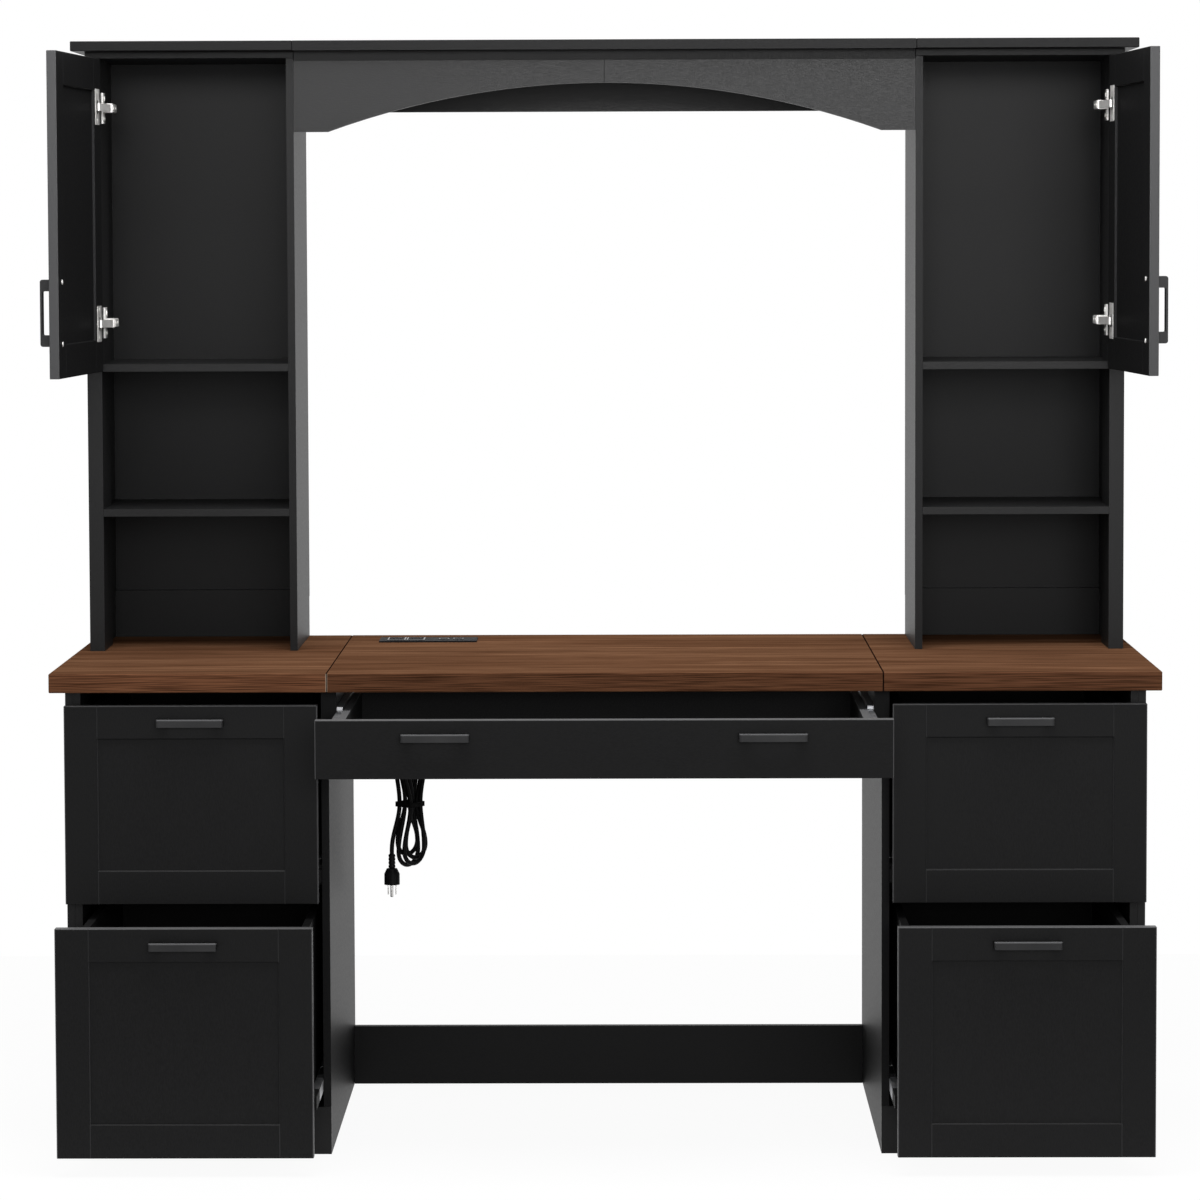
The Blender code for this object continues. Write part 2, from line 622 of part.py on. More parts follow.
# Drawers: a front, a box with a slide bar on each side, and pulls, drawn out along -Y
for name, bay, front, z0, z1, box_z, drawn_out, pedestal in DRAWERS:
    depth = PED_BOX_D if pedestal else CENTRE_BOX_D
    length = PED_RUNNER_L if pedestal else CENTRE_RUNNER_L
    top_drop = PED_BOX_TOP_DROP if pedestal else BOX_TOP_DROP
    home = Vector(((front[0] + front[1]) / 2, FACE, (z0 + z1) / 2))
    slide = empty("drawer_slide_" + name, home - Vector((0.0, drawn_out, 0.0)), ROOT)

    # Front: framed on the pedestals, plain across the centre
    bm = bmesh.new()
    low, high = (front[0], FACE, z0), (front[1], FACE_BACK, z1)
    if pedestal:
        framed(bm, low, high, (-1,))
    else:
        add_box(bm, low, high)
    piece("drawer_front_" + name, bm, material("black_front_" + name, 0.5), slide, home, EDGE_R)

    # Pulls: one in the middle, or two on the wide centre front
    pulls = [("", home.x)]
    if not pedestal:
        pulls = [("_left", front[0] + CENTRE_PULL_IN), ("_right", front[1] - CENTRE_PULL_IN)]
    pull_z = z1 - PULL_DROP
    for tail, x in pulls:
        bm = bmesh.new()
        add_outline(bm, [pull_outline(x, FACE - CLR)], pull_z - PULL_H / 2, pull_z + PULL_H / 2, "XY")
        piece("drawer_handle_" + name + tail, bm, material("black_pull_" + name + tail, 0.35, 0.3),
              slide, home, smooth=True)

    # Box: a tray, open at the top
    x0, x1 = bay[0] + SLIDE_W, bay[1] - SLIDE_W
    bm = bmesh.new()
    add_box(bm, (x0, BOX_FRONT, box_z), (x1, BOX_FRONT + depth, z1 - top_drop))
    bm.normal_update()
    face = next(f for f in bm.faces if f.normal.z > 0.9)
    bmesh.ops.inset_individual(bm, faces=[face], thickness=BOX_SIDE_T, use_even_offset=True)
    sunk = bmesh.ops.extrude_discrete_faces(bm, faces=[face])["faces"][0]
    floor = box_z + BOX_BOTTOM_T
    bmesh.ops.translate(bm, verts=sunk.verts, vec=(0.0, 0.0, floor - z1 + top_drop))
    tray = piece("drawer_box_" + name, bm, material("grey_box_" + name, 0.6, colour=(0.06, 0.06, 0.06)),
                 slide, home)

    # Slide bars between the rails on the carcass
    mid = box_z + (PED_RUNNER_UP if pedestal else CENTRE_RUNNER_UP)
    bars = []
    for edge, way in ((bay[0], 1), (bay[1], -1)):
        ends = sorted((edge + way * CLR, edge + way * (SLIDE_W + SINK)))
        bars.append(((ends[0], RAIL_Y, mid - BAR_H / 2), (ends[1], RAIL_Y + length, mid + BAR_H / 2)))
    tool("slide_bars_" + name, tray, "UNION", bars, home=home)

# Power strip: rim with sockets, body in the hole and the tapered outlet for its cord
plastic = material("black_plastic", 0.4, colour=(0.012, 0.012, 0.013))
rim_z = DESK_H + CLR
body_low = DESK_H - STRIP_BODY_H
gland_y = DESK_D - HANK_BACK
strip = boards("power_strip", [((STRIP_X - STRIP_L / 2, STRIP_Y - STRIP_W / 2, rim_z),
                                (STRIP_X + STRIP_L / 2, STRIP_Y + STRIP_W / 2, rim_z + STRIP_RIM_H))],
               plastic)
tool("power_strip_body", strip, "UNION",
     [((STRIP_X - STRIP_BODY_L / 2, STRIP_Y - STRIP_BODY_W / 2, body_low),
       (STRIP_X + STRIP_BODY_L / 2, STRIP_Y + STRIP_BODY_W / 2, rim_z + SINK))])
tool("cord_outlet", strip, "UNION", [],
     [((GLAND_X, gland_y, body_low - (GLAND_L - SINK) / 2), GLAND_TIP_R, GLAND_L + SINK, GLAND_R)])
slots, earths = [], []
for x in OUTLET_X:
    for way in (-1, 1):
        mid = STRIP_X + x + way * SLOT_SPACE / 2
        slots.append(((mid - SLOT_W / 2, STRIP_Y, rim_z - STRIP_RIM_H),
                      (mid + SLOT_W / 2, STRIP_Y + SLOT_L, rim_z + 2 * STRIP_RIM_H)))
    earths.append(((STRIP_X + x, STRIP_Y - EARTH_DOWN, rim_z), EARTH_R, 4 * STRIP_RIM_H, None))
for x in USB_X:
    for way in (-1, 1):
        mid = STRIP_Y + way * USB_SPACE / 2
        slots.append(((STRIP_X + x - USB_L / 2, mid - USB_W / 2, rim_z - STRIP_RIM_H),
                      (STRIP_X + x + USB_L / 2, mid + USB_W / 2, rim_z + 2 * STRIP_RIM_H)))
tool("power_strip_sockets", strip, "DIFFERENCE", slots, earths)
round_edges(strip, EDGE_R)

# Cord: drop from the strip, hank of loops drawn in at the waist, tie and plug
cord_look = material("black_cord", 0.5, colour=(0.010, 0.010, 0.010))
HANK_Y = DESK_D - HANK_BACK
HANK = Vector((HANK_X, HANK_Y, HANK_Z))
RUN = 3 / LOOP_POINTS


def fanned(turns, folds, waist):
    """A value that each loop has at its lower fold, and that eases to the waist's value at its upper fold."""
    step = min(max(math.floor(turns * 2 + 0.5), 0), 2 * HANK_LOOPS)
    ends = []
    for k in (step - 1, step):
        loop = k // 2
        ends.append(folds[loop] if k % 2 == 0 and 0 <= loop < HANK_LOOPS else waist)
    t = min(max(turns * 2 + 0.5 - step, 0.0), 1.0)
    return ends[0] + (ends[1] - ends[0]) * t * t * (3 - 2 * t)


def hank_point(turns):
    """A point of the hank: turns is the number of loops wound so far, from a waist on the left."""
    if turns < 0:
        out = 1 - turns
    elif turns > HANK_LOOPS:
        out = turns - HANK_LOOPS + 1
    else:
        out = abs(turns % 2 - 1)
    lead = turns < 0 or turns > HANK_LOOPS
    radius = BIGHT_R + (LOOP_PITCH * out if lead else 0.0)
    drawn_in = WAIST_IN - (0.0 if lead else LOOP_PITCH * out)
    layer = 0.0
    for climb in range(1, HANK_LOOPS):
        t = min(max((turns - climb + RUN) / (2 * RUN), 0.0), 1.0)
        layer += t * t * (3 - 2 * t)
    f = turns % 1.0
    if f <= RUN or f >= 1 - RUN:
        z = -RUN_HALF * f / RUN if f <= RUN else RUN_HALF * (1 - f) / RUN
        waist = math.cos(math.pi * z / (2 * RUN_HALF)) ** 2
        x = -(radius - drawn_in * waist)
    elif f < 0.5 - RUN:
        a = math.pi + math.pi * (f - RUN) / (0.5 - 2 * RUN)
        x, z, waist = radius * math.cos(a), -RUN_HALF + radius * math.sin(a), 0.0
    elif f <= 0.5 + RUN:
        z = RUN_HALF * (f - 0.5) / RUN
        waist = math.cos(math.pi * z / (2 * RUN_HALF)) ** 2
        x = radius - drawn_in * waist
    else:
        a = math.pi * (f - 0.5 - RUN) / (0.5 - 2 * RUN)
        x, z, waist = radius * math.cos(a), RUN_HALF + radius * math.sin(a), 0.0
    if not lead:
        x += fanned(turns, FAN_X, 0.0) * (1 - waist)
        if z < 0:
            z -= RUN_HALF * (fanned(turns, FAN_Z, 1.0) - 1.0) * (1 - waist)
    y = (layer - (HANK_LOOPS - 1) / 2) * LAYER_PITCH
    return HANK + Matrix.Rotation(HANK_TURN, 3, "Z") @ Vector((x, y, z))


def tube(name, points, radius, resolution):
    """A round tube along points, with closed ends."""
    curve = bpy.data.curves.new(name, "CURVE")
    curve.dimensions = "3D"
    curve.bevel_depth = radius
    curve.bevel_resolution = resolution
    curve.use_fill_caps = True
    spline = curve.splines.new("POLY")
    spline.points.add(len(points) - 1)
    for point, place in zip(spline.points, points):
        point.co = (*place, 1.0)
    curve.materials.append(cord_look)
    made = bpy.data.objects.new(name, curve)
    PARTS.objects.link(made)
    made.parent = ROOT
    return made


first, last = -RUN, HANK_LOOPS + RUN
count = round((last - first) * LOOP_POINTS)
wound = [hank_point(first + k / LOOP_POINTS) for k in range(count + 1)]
wound.insert(0, wound[0] + Vector((0.0, 0.0, CORD_D)))
wound.append(wound[-1] - Vector((0.0, 0.0, CORD_D)))
tube("cord_hank", wound, CORD_D / 2, 1)

gland_end = Vector((GLAND_X, gland_y, body_low - GLAND_L - CLR))
start = wound[0] + Vector((0.0, 0.0, CLR))
fall = gland_end.z - start.z
drop = []
for k in range(13):
    t = k / 12
    ease = t * t * t * (10 - 15 * t + 6 * t * t)
    drop.append(gland_end.lerp(start, ease).xy.to_3d() + Vector((0.0, 0.0, gland_end.z - fall * t)))
tube("cord", drop, CORD_D / 2, 2)

# Least gap between strands of the hank, on points a tenth of a loop step apart
fine = []
for a, b in zip(wound, wound[1:]):
    fine += [a.lerp(b, k / 6) for k in range(6)]
fine.append(wound[-1])
along = [0.0]
for a, b in zip(fine, fine[1:]):
    along.append(along[-1] + (b - a).length)
least = min((fine[i] - fine[j]).length for i in range(len(fine)) for j in range(i + 1, len(fine))
            if along[j] - along[i] > 4 * CORD_D)
print("hank: least gap to itself mm", round((least - CORD_D) * 1000, 3),
      "length mm", round(along[-1] * 1000, 1), "with the drop mm", round((along[-1] + fall) * 1000, 1))

# Tie round the waist
waist = BIGHT_R - WAIST_IN
tie_x0 = -waist - LOOP_PITCH - CORD_D / 2 - TIE_GAP
tie_x1 = waist + LOOP_PITCH / 2 + CORD_D / 2 + TIE_GAP
tie_y = (HANK_LOOPS - 1) / 2 * LAYER_PITCH + CORD_D / 2 + CLR


def rounded(x0, x1, y0, y1, radius):
    """A rectangle with round corners."""
    points = arc(x1 - radius, y1 - radius, radius, 0, 90, 3)
    points += arc(x0 + radius, y1 - radius, radius, 90, 180, 3)
    points += arc(x0 + radius, y0 + radius, radius, 180, 270, 3)
    return points + arc(x1 - radius, y0 + radius, radius, 270, 360, 3)


bm = bmesh.new()
inner = rounded(tie_x0, tie_x1, -tie_y, tie_y, TIE_T)
outer = rounded(tie_x0 - TIE_T, tie_x1 + TIE_T, -tie_y - TIE_T, tie_y + TIE_T, 2 * TIE_T)
band = [[Matrix.Rotation(HANK_TURN, 2) @ Vector(p) + HANK.xy for p in outline] for outline in (outer, inner)]
add_outline(bm, band, HANK_Z - TIE_H / 2, HANK_Z + TIE_H / 2, "XY")
piece("cord_tie", bm, material("black_tie", 0.7, colour=(0.014, 0.014, 0.014)))

# Plug: a ribbed relief and a flattened body, turned and then pressed flatter
end_point = wound[-1]
plug_top = end_point.z - CLR
profile = [(0.0, 0.0), (RELIEF_R - RIB_R, 0.0)]
step = RELIEF_L / (RELIEF_RIBS * 2)
for k in range(RELIEF_RIBS):
    for radius, depth in ((RELIEF_R, 2 * k + 0.5), (RELIEF_R, 2 * k + 1.2), (RELIEF_R - RIB_R, 2 * k + 1.7)):
        profile.append((radius, -depth * step))
profile += [(PLUG_NECK_R, -RELIEF_L), (PLUG_R, -RELIEF_L - PLUG_L / 3), (PLUG_R, -RELIEF_L - PLUG_L),
            (0.0, -RELIEF_L - PLUG_L)]
bm = bmesh.new()
ring = [bm.verts.new((r, 0.0, z)) for r, z in profile]
edges = [bm.edges.new(pair) for pair in zip(ring, ring[1:])]
bmesh.ops.spin(bm, geom=ring + edges, axis=(0, 0, 1), cent=(0, 0, 0), angle=2 * math.pi, steps=20,
               use_duplicate=False)
bmesh.ops.remove_doubles(bm, verts=bm.verts, dist=0.00001)
bmesh.ops.scale(bm, verts=bm.verts, vec=(1.0, PLUG_FLAT, 1.0))
bmesh.ops.recalc_face_normals(bm, faces=bm.faces)
bmesh.ops.translate(bm, verts=bm.verts, vec=(end_point.x, end_point.y, plug_top))
plug = piece("plug", bm, plastic, smooth=True)

# Two blades and an earth pin in the plug's face
blade_top = plug_top - RELIEF_L - PLUG_L + SINK
blades = []
for way in (-1, 1):
    x = end_point.x + way * BLADE_SPACE / 2
    y = end_point.y + EARTH_PIN_R
    blades.append(((x - BLADE_T / 2, y - BLADE_W / 2, blade_top - SINK - BLADE_L),
                   (x + BLADE_T / 2, y + BLADE_W / 2, blade_top)))
pin = (end_point.x, end_point.y - EARTH_PIN_Y, blade_top - (EARTH_PIN_L + SINK) / 2)
tool("plug_blades", plug, "UNION", blades, [(pin, EARTH_PIN_R, EARTH_PIN_L + SINK, None)])
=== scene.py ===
"""Looks of the computer desk with a hutch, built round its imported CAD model. Metres, in the CAD's frame."""
import math

import bpy
from mathutils import Matrix, Vector


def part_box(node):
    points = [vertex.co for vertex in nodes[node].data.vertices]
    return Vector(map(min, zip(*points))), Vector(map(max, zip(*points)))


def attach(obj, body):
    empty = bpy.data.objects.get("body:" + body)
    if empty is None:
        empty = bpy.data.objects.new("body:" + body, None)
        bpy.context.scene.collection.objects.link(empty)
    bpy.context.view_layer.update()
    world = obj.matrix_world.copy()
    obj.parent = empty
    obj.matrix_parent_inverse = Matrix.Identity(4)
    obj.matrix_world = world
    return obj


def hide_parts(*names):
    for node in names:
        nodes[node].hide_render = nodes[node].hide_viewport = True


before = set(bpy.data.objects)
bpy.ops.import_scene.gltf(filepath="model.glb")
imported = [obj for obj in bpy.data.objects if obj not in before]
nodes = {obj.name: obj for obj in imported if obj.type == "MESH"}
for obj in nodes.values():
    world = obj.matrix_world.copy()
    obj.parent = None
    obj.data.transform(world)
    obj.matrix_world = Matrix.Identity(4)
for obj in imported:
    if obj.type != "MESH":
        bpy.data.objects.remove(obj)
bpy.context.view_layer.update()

# Photographer's view: a long lens well in front of the desk, a little right of its middle and level with
# the cupboards. It is tilted down a little and slid down its mount for the rest of the framing, so the
# gables stay nearly upright.
TILT_DOWN, ROLL, PAN = 0.05745, 0.0034, 0.0085
lens = bpy.data.cameras.new("photo_camera")
lens.sensor_width = 36.0
lens.lens = 119.41
lens.shift_y = -0.12
lens.clip_end = 60.0
camera = bpy.data.objects.new("photo_camera", lens)
camera.location = (0.0474, -6.3524, 1.4558)
camera.rotation_euler = (math.pi / 2 - TILT_DOWN, ROLL, PAN)
bpy.context.scene.collection.objects.link(camera)
bpy.context.scene.camera = camera

# Supply cord: a round black sheath that leaves the power strip's outlet under the top, drops a hand's width
# and is folded into a hank of four loops, as it comes from the factory. It hangs from its outlet.
CORD_D = 0.0075
HANK = Vector((-0.330, 0.2874, 0.490))
LOOPS = 4
HANK_TURN = Matrix.Rotation(math.radians(50), 3, "Z")
BEND_R = 0.0240
RUN_HALF = 0.075
WAIST_IN = 0.0185
LOOP_PITCH = 0.009
LAYER_PITCH = 0.0083
OUTLET = Vector((-0.353, 0.2874, 0.6947))
RUN = 0.125
FAN_X = (-0.007, 0.008, -0.003, 0.005)
FAN_Z = (1.00, 0.90, 1.06, 0.84)


def fanned(turns, folds, waist):
    """A value that each loop has at its lower fold and that eases to the waist's value at its upper fold."""
    step = min(max(math.floor(turns * 2 + 0.5), 0), 2 * LOOPS)
    ends = []
    for k in (step - 1, step):
        ends.append(folds[k // 2] if k % 2 == 0 and 0 <= k // 2 < LOOPS else waist)
    t = min(max(turns * 2 + 0.5 - step, 0.0), 1.0)
    return ends[0] + (ends[1] - ends[0]) * t * t * (3 - 2 * t)


def hank_point(turns):
    """A point of the hank after that many loops, from a waist on the left. The lower folds fan out."""
    out = 1 - turns if turns < 0 else turns - LOOPS + 1 if turns > LOOPS else abs(turns % 2 - 1)
    lead = turns < 0 or turns > LOOPS
    radius = BEND_R + (LOOP_PITCH * out if lead else 0.0)
    drawn_in = WAIST_IN - (0.0 if lead else LOOP_PITCH * out)
    layer = 0.0
    for climb in range(1, LOOPS):
        t = min(max((turns - climb + RUN) / (2 * RUN), 0.0), 1.0)
        layer += t * t * (3 - 2 * t)
    f = turns % 1.0
    if f <= RUN or f >= 1 - RUN:
        z = -RUN_HALF * f / RUN if f <= RUN else RUN_HALF * (1 - f) / RUN
        waist = math.cos(math.pi * z / (2 * RUN_HALF)) ** 2
        x = -(radius - drawn_in * waist)
    elif f < 0.5 - RUN:
        a = math.pi + math.pi * (f - RUN) / (0.5 - 2 * RUN)
        x, z, waist = radius * math.cos(a), -RUN_HALF + radius * math.sin(a), 0.0
    elif f <= 0.5 + RUN:
        z = RUN_HALF * (f - 0.5) / RUN
        waist = math.cos(math.pi * z / (2 * RUN_HALF)) ** 2
        x = radius - drawn_in * waist
    else:
        a = math.pi * (f - 0.5 - RUN) / (0.5 - 2 * RUN)
        x, z, waist = radius * math.cos(a), RUN_HALF + radius * math.sin(a), 0.0
    if not lead:
        x += fanned(turns, FAN_X, 0.0) * (1 - waist)
        z -= RUN_HALF * (fanned(turns, FAN_Z, 1.0) - 1.0) * (1 - waist) if z < 0 else 0.0
    return HANK + HANK_TURN @ Vector((x, (layer - (LOOPS - 1) / 2) * LAYER_PITCH, z))


STEPS = 72
DROP_STEPS = 24
first, last = -RUN, LOOPS + RUN
wound = [hank_point(first + k / STEPS) for k in range(round((last - first) * STEPS) + 1)]
hank_top = wound[0] + Vector((0, 0, CORD_D))
route = []
for k in range(DROP_STEPS + 1):
    t = k / DROP_STEPS
    slide = t * t * t * (10 - 15 * t + 6 * t * t)
    x, y = OUTLET.lerp(hank_top, slide).xy
    route.append(Vector((x, y, OUTLET.z + (hank_top.z - OUTLET.z) * t)))
route += wound + [wound[-1] - Vector((0, 0, CORD_D))]

cord_curve = bpy.data.curves.new("supply_cord", "CURVE")
cord_curve.dimensions = "3D"
cord_curve.bevel_depth = CORD_D / 2
cord_curve.bevel_resolution = 4
cord_curve.use_fill_caps = True
spline = cord_curve.splines.new("POLY")
spline.points.add(len(route) - 1)
for point, place in zip(spline.points, route):
    point.co = (*place, 1.0)
supply_cord = bpy.data.objects.new("supply_cord", cord_curve)
bpy.context.scene.collection.objects.link(supply_cord)


class Look:
    """A material's node tree with short ways to add and join nodes. Patterns read Object coordinates."""

    def __init__(self, name, colour, roughness, metallic=0.0, specular=0.5):
        self.material = bpy.data.materials.new(name)
        self.material.use_nodes = True
        self.tree = self.material.node_tree
        self.shader = self.tree.nodes["Principled BSDF"]
        self.shader.inputs["Base Color"].default_value = (*colour, 1.0)
        self.shader.inputs["Roughness"].default_value = roughness
        self.shader.inputs["Metallic"].default_value = metallic
        self.shader.inputs["Specular IOR Level"].default_value = specular
        self.place = self.add("ShaderNodeTexCoord").outputs["Object"]

    def add(self, kind, **settings):
        node = self.tree.nodes.new(kind)
        for name, value in settings.items():
            setattr(node, name, value)
        return node

    def put(self, value, socket):
        if isinstance(value, bpy.types.NodeSocket):
            self.tree.links.new(value, socket)
        else:
            socket.default_value = value

    def turned(self, source, location=(0, 0, 0), rotation=(0, 0, 0), scale=(1, 1, 1)):
        node = self.add("ShaderNodeMapping")
        self.put(source, node.inputs["Vector"])
        for name, value in (("Location", location), ("Rotation", rotation), ("Scale", scale)):
            node.inputs[name].default_value = value
        return node.outputs["Vector"]

    def noise(self, source, scale, detail=3.0, roughness=0.5, distortion=0.0):
        node = self.add("ShaderNodeTexNoise")
        self.put(source, node.inputs["Vector"])
        for name, value in (("Scale", scale), ("Detail", detail), ("Roughness", roughness),
                            ("Distortion", distortion)):
            node.inputs[name].default_value = value
        return node.outputs["Fac"]

    def axes(self, source=None):
        node = self.add("ShaderNodeSeparateXYZ")
        self.put(self.place if source is None else source, node.inputs[0])
        return node.outputs

    def sums(self, operation, *values):
        node = self.add("ShaderNodeMath", operation=operation)
        for value, socket in zip(values, node.inputs):
            self.put(value, socket)
        return node.outputs[0]

    def range(self, value, low, high, to_low=0.0, to_high=1.0):
        node = self.add("ShaderNodeMapRange")
        for name, given in (("Value", value), ("From Min", low), ("From Max", high),
                            ("To Min", to_low), ("To Max", to_high)):
            self.put(given, node.inputs[name])
        return node.outputs["Result"]

    def ramp(self, value, *stops):
        node = self.add("ShaderNodeValToRGB")
        self.put(value, node.inputs["Fac"])
        while len(node.color_ramp.elements) < len(stops):
            node.color_ramp.elements.new(0.5)
        for element, (position, colour) in zip(node.color_ramp.elements, stops):
            element.position = position
            element.color = (*colour, 1.0)
        return node.outputs["Color"]

    def mix(self, factor, a, b):
        node = self.add("ShaderNodeMix", data_type="RGBA")
        for socket, value in zip((node.inputs[0], node.inputs[6], node.inputs[7]), (factor, a, b)):
            self.put((*value, 1.0) if isinstance(value, tuple) else value, socket)
        return node.outputs[2]

    def bump(self, height, distance, strength=1.0):
        node = self.add("ShaderNodeBump")
        node.inputs["Distance"].default_value = distance
        node.inputs["Strength"].default_value = strength
        self.put(height, node.inputs["Height"])
        self.put(node.outputs["Normal"], self.shader.inputs["Normal"])

    def colour(self, value):
        self.put(value, self.shader.inputs["Base Color"])

    def tint(self):
        return self.shader.inputs["Base Color"].links[0].from_socket

    def roughness(self, value):
        self.put(value, self.shader.inputs["Roughness"])


def wear(obj, look):
    """Dress a piece in one material."""
    obj.data.materials.clear()
    obj.data.materials.append(look.material)


sheath = Look("black_cord_sheath", (0.007, 0.007, 0.0075), 0.42, specular=0.05)
mottle = sheath.noise(sheath.place, 60.0, 4.0)
sheath.colour(sheath.ramp(mottle, (0.3, (0.005, 0.005, 0.0055)), (0.7, (0.009, 0.009, 0.0095))))
sheath.roughness(sheath.range(mottle, 0.3, 0.7, 0.36, 0.48))
sheath.bump(sheath.noise(sheath.place, 900.0, 2.0), 0.0001, 0.4)
wear(supply_cord, sheath)
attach(supply_cord, "frame")
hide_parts("cord", "cord_hank")

# Plug: a moulded body with a ribbed relief from the CAD, and its two folded brass blades and round earth pin,
# nickel plated. Each blade is a thin strip with eased edges and a hole near its tip.
PLUG_FACE = 0.3562
BLADE = Vector((0.0019, 0.0067, 0.0171))
PLUG_X, PLUG_Y = -0.361472, 0.269261
BLADE_OUT, BLADE_BACK = 0.00635, 0.0024
EYE_R, EYE_DOWN = 0.0014, 0.0048
PIN_R, PIN_LONG, PIN_FRONT = 0.00255, 0.0202, 0.0058
SUNK = 0.0001


def fresh():
    """Leave nothing selected, as after the CAD's import."""
    if bpy.context.object and bpy.context.object.mode != "OBJECT":
        bpy.ops.object.mode_set(mode="OBJECT")
    bpy.ops.object.select_all(action="DESELECT")


def settle(obj):
    """Put a piece's place, turn and size into its mesh."""
    fresh()
    obj.select_set(True)
    bpy.context.view_layer.objects.active = obj
    bpy.ops.object.transform_apply(location=True, rotation=True, scale=True)
    return obj


def block(name, low, high):
    """A box between two corners, to be shaped further."""
    fresh()
    low, high = Vector(low), Vector(high)
    bpy.ops.mesh.primitive_cube_add(size=1.0, location=(low + high) / 2)
    made = bpy.context.object
    made.name = made.data.name = name
    made.scale = high - low
    return settle(made)


def rod(name, centre, radius, length, axis="Z", sides=24):
    """A round bar on its middle, along one axis, to be shaped further."""
    fresh()
    turn = {"X": (0, math.pi / 2, 0), "Y": (math.pi / 2, 0, 0), "Z": (0, 0, 0)}[axis]
    bpy.ops.mesh.primitive_cone_add(vertices=sides, radius1=radius, radius2=radius, depth=length,
                                    location=centre, rotation=turn)
    made = bpy.context.object
    made.name = made.data.name = name
    return settle(made)


def apply_last(obj):
    """Apply a piece's newest modifier."""
    fresh()
    obj.select_set(True)
    bpy.context.view_layer.objects.active = obj
    bpy.ops.object.modifier_apply(modifier=obj.modifiers[-1].name)
    return obj


def ease(obj, width, segments=2, angle=30):
    """Round the sharp edges of a piece."""
    round_off = obj.modifiers.new("eased", "BEVEL")
    round_off.width = width
    round_off.segments = segments
    round_off.limit_method = "ANGLE"
    round_off.angle_limit = math.radians(angle)
    return apply_last(obj)


def cut(obj, *cutters):
    """Take the cutters' shapes out of a piece."""
    for cutter in cutters:
        take = obj.modifiers.new("cut", "BOOLEAN")
        take.operation = "DIFFERENCE"
        take.solver = "EXACT"
        take.object = cutter
        apply_last(obj)
        bpy.data.objects.remove(cutter)
    return obj


def gather(name, pieces):
    """Join like pieces into one object."""
    fresh()
    for piece in pieces:
        piece.select_set(True)
    bpy.context.view_layer.objects.active = pieces[0]
    if len(pieces) > 1:
        bpy.ops.object.join()
    made = bpy.context.object
    made.name = made.data.name = name
    return made


def smooth(obj, angle=35):
    """Shade round surfaces smooth and keep the sharp edges."""
    fresh()
    obj.select_set(True)
    bpy.context.view_layer.objects.active = obj
    bpy.ops.object.shade_smooth_by_angle(angle=math.radians(angle))
    return obj


contacts = []
for way in (-1, 1):
    middle = Vector((PLUG_X + way * BLADE_OUT, PLUG_Y + BLADE_BACK, PLUG_FACE - BLADE.z / 2 + SUNK))
    blade = ease(block("blade", middle - BLADE / 2, middle + BLADE / 2), 0.0006)
    eye = rod("eye", middle - Vector((0, 0, EYE_DOWN)), EYE_R, 0.02, "X")
    contacts.append(cut(blade, eye))
pin = rod("earth_pin", (PLUG_X, PLUG_Y - PIN_FRONT, PLUG_FACE - PIN_LONG / 2 + SUNK), PIN_R, PIN_LONG)
contacts.append(ease(pin, 0.0014, 3))
plug_blades = smooth(gather("plug_blades", contacts))

nickel = Look("nickel_plate", (0.84, 0.83, 0.81), 0.40, 0.6)
cloud = nickel.noise(nickel.place, 45.0, 4.0)
nickel.roughness(nickel.range(cloud, 0.3, 0.7, 0.32, 0.46))
nickel.colour(nickel.ramp(cloud, (0.3, (0.80, 0.79, 0.77)), (0.7, (0.88, 0.87, 0.85))))
nickel.bump(nickel.noise(nickel.turned(nickel.place, scale=(1, 1, 6)), 700.0, 2.0), 0.00005, 0.35)
wear(plug_blades, nickel)
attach(plug_blades, "frame")

moulded = Look("black_moulding", (0.009, 0.009, 0.0095), 0.4, specular=0.06)
flow = moulded.noise(moulded.place, 18.0)
orange_peel = moulded.noise(moulded.place, 1400.0, 2.0)
moulded.roughness(moulded.range(moulded.noise(moulded.place, 30.0), 0.3, 0.7, 0.34, 0.48))
moulded.colour(moulded.ramp(flow, (0.3, (0.007, 0.007, 0.0075)), (0.7, (0.011, 0.011, 0.0115))))
moulded.bump(orange_peel, 0.0001, 0.5)
wear(nodes["plug"], moulded)

# Tie: a woven black band, wound once round the hank's waist with its end tucked in.
# It keeps the factory's folds together until the desk is set up.
band = Look("black_tie_band", (0.014, 0.014, 0.014), 0.75, specular=0.04)
weave = band.add("ShaderNodeTexWave", wave_type="BANDS", bands_direction="DIAGONAL")
band.put(band.place, weave.inputs["Vector"])
weave.inputs["Scale"].default_value = 420.0
band.colour(band.ramp(weave.outputs["Fac"], (0.2, (0.004, 0.004, 0.004)), (0.8, (0.011, 0.011, 0.011))))
band.bump(weave.outputs["Fac"], 0.0002, 0.6)
wear(nodes["cord_tie"], band)

# Desk top: three boards side by side, faced with a brown wood-grain laminate whose grain runs along the
# desk, with an edge band in the same grain. Each board is cut from another place on the sheet, and at the
# left seam the band's raw end shows as a pale line.
SEAM_X = 0.4325
SEAM_HALF = 0.0009
FRONT_FACE = -0.2026
BAND_FROM, BAND_TO = FRONT_FACE + 0.0003, FRONT_FACE + 0.0008


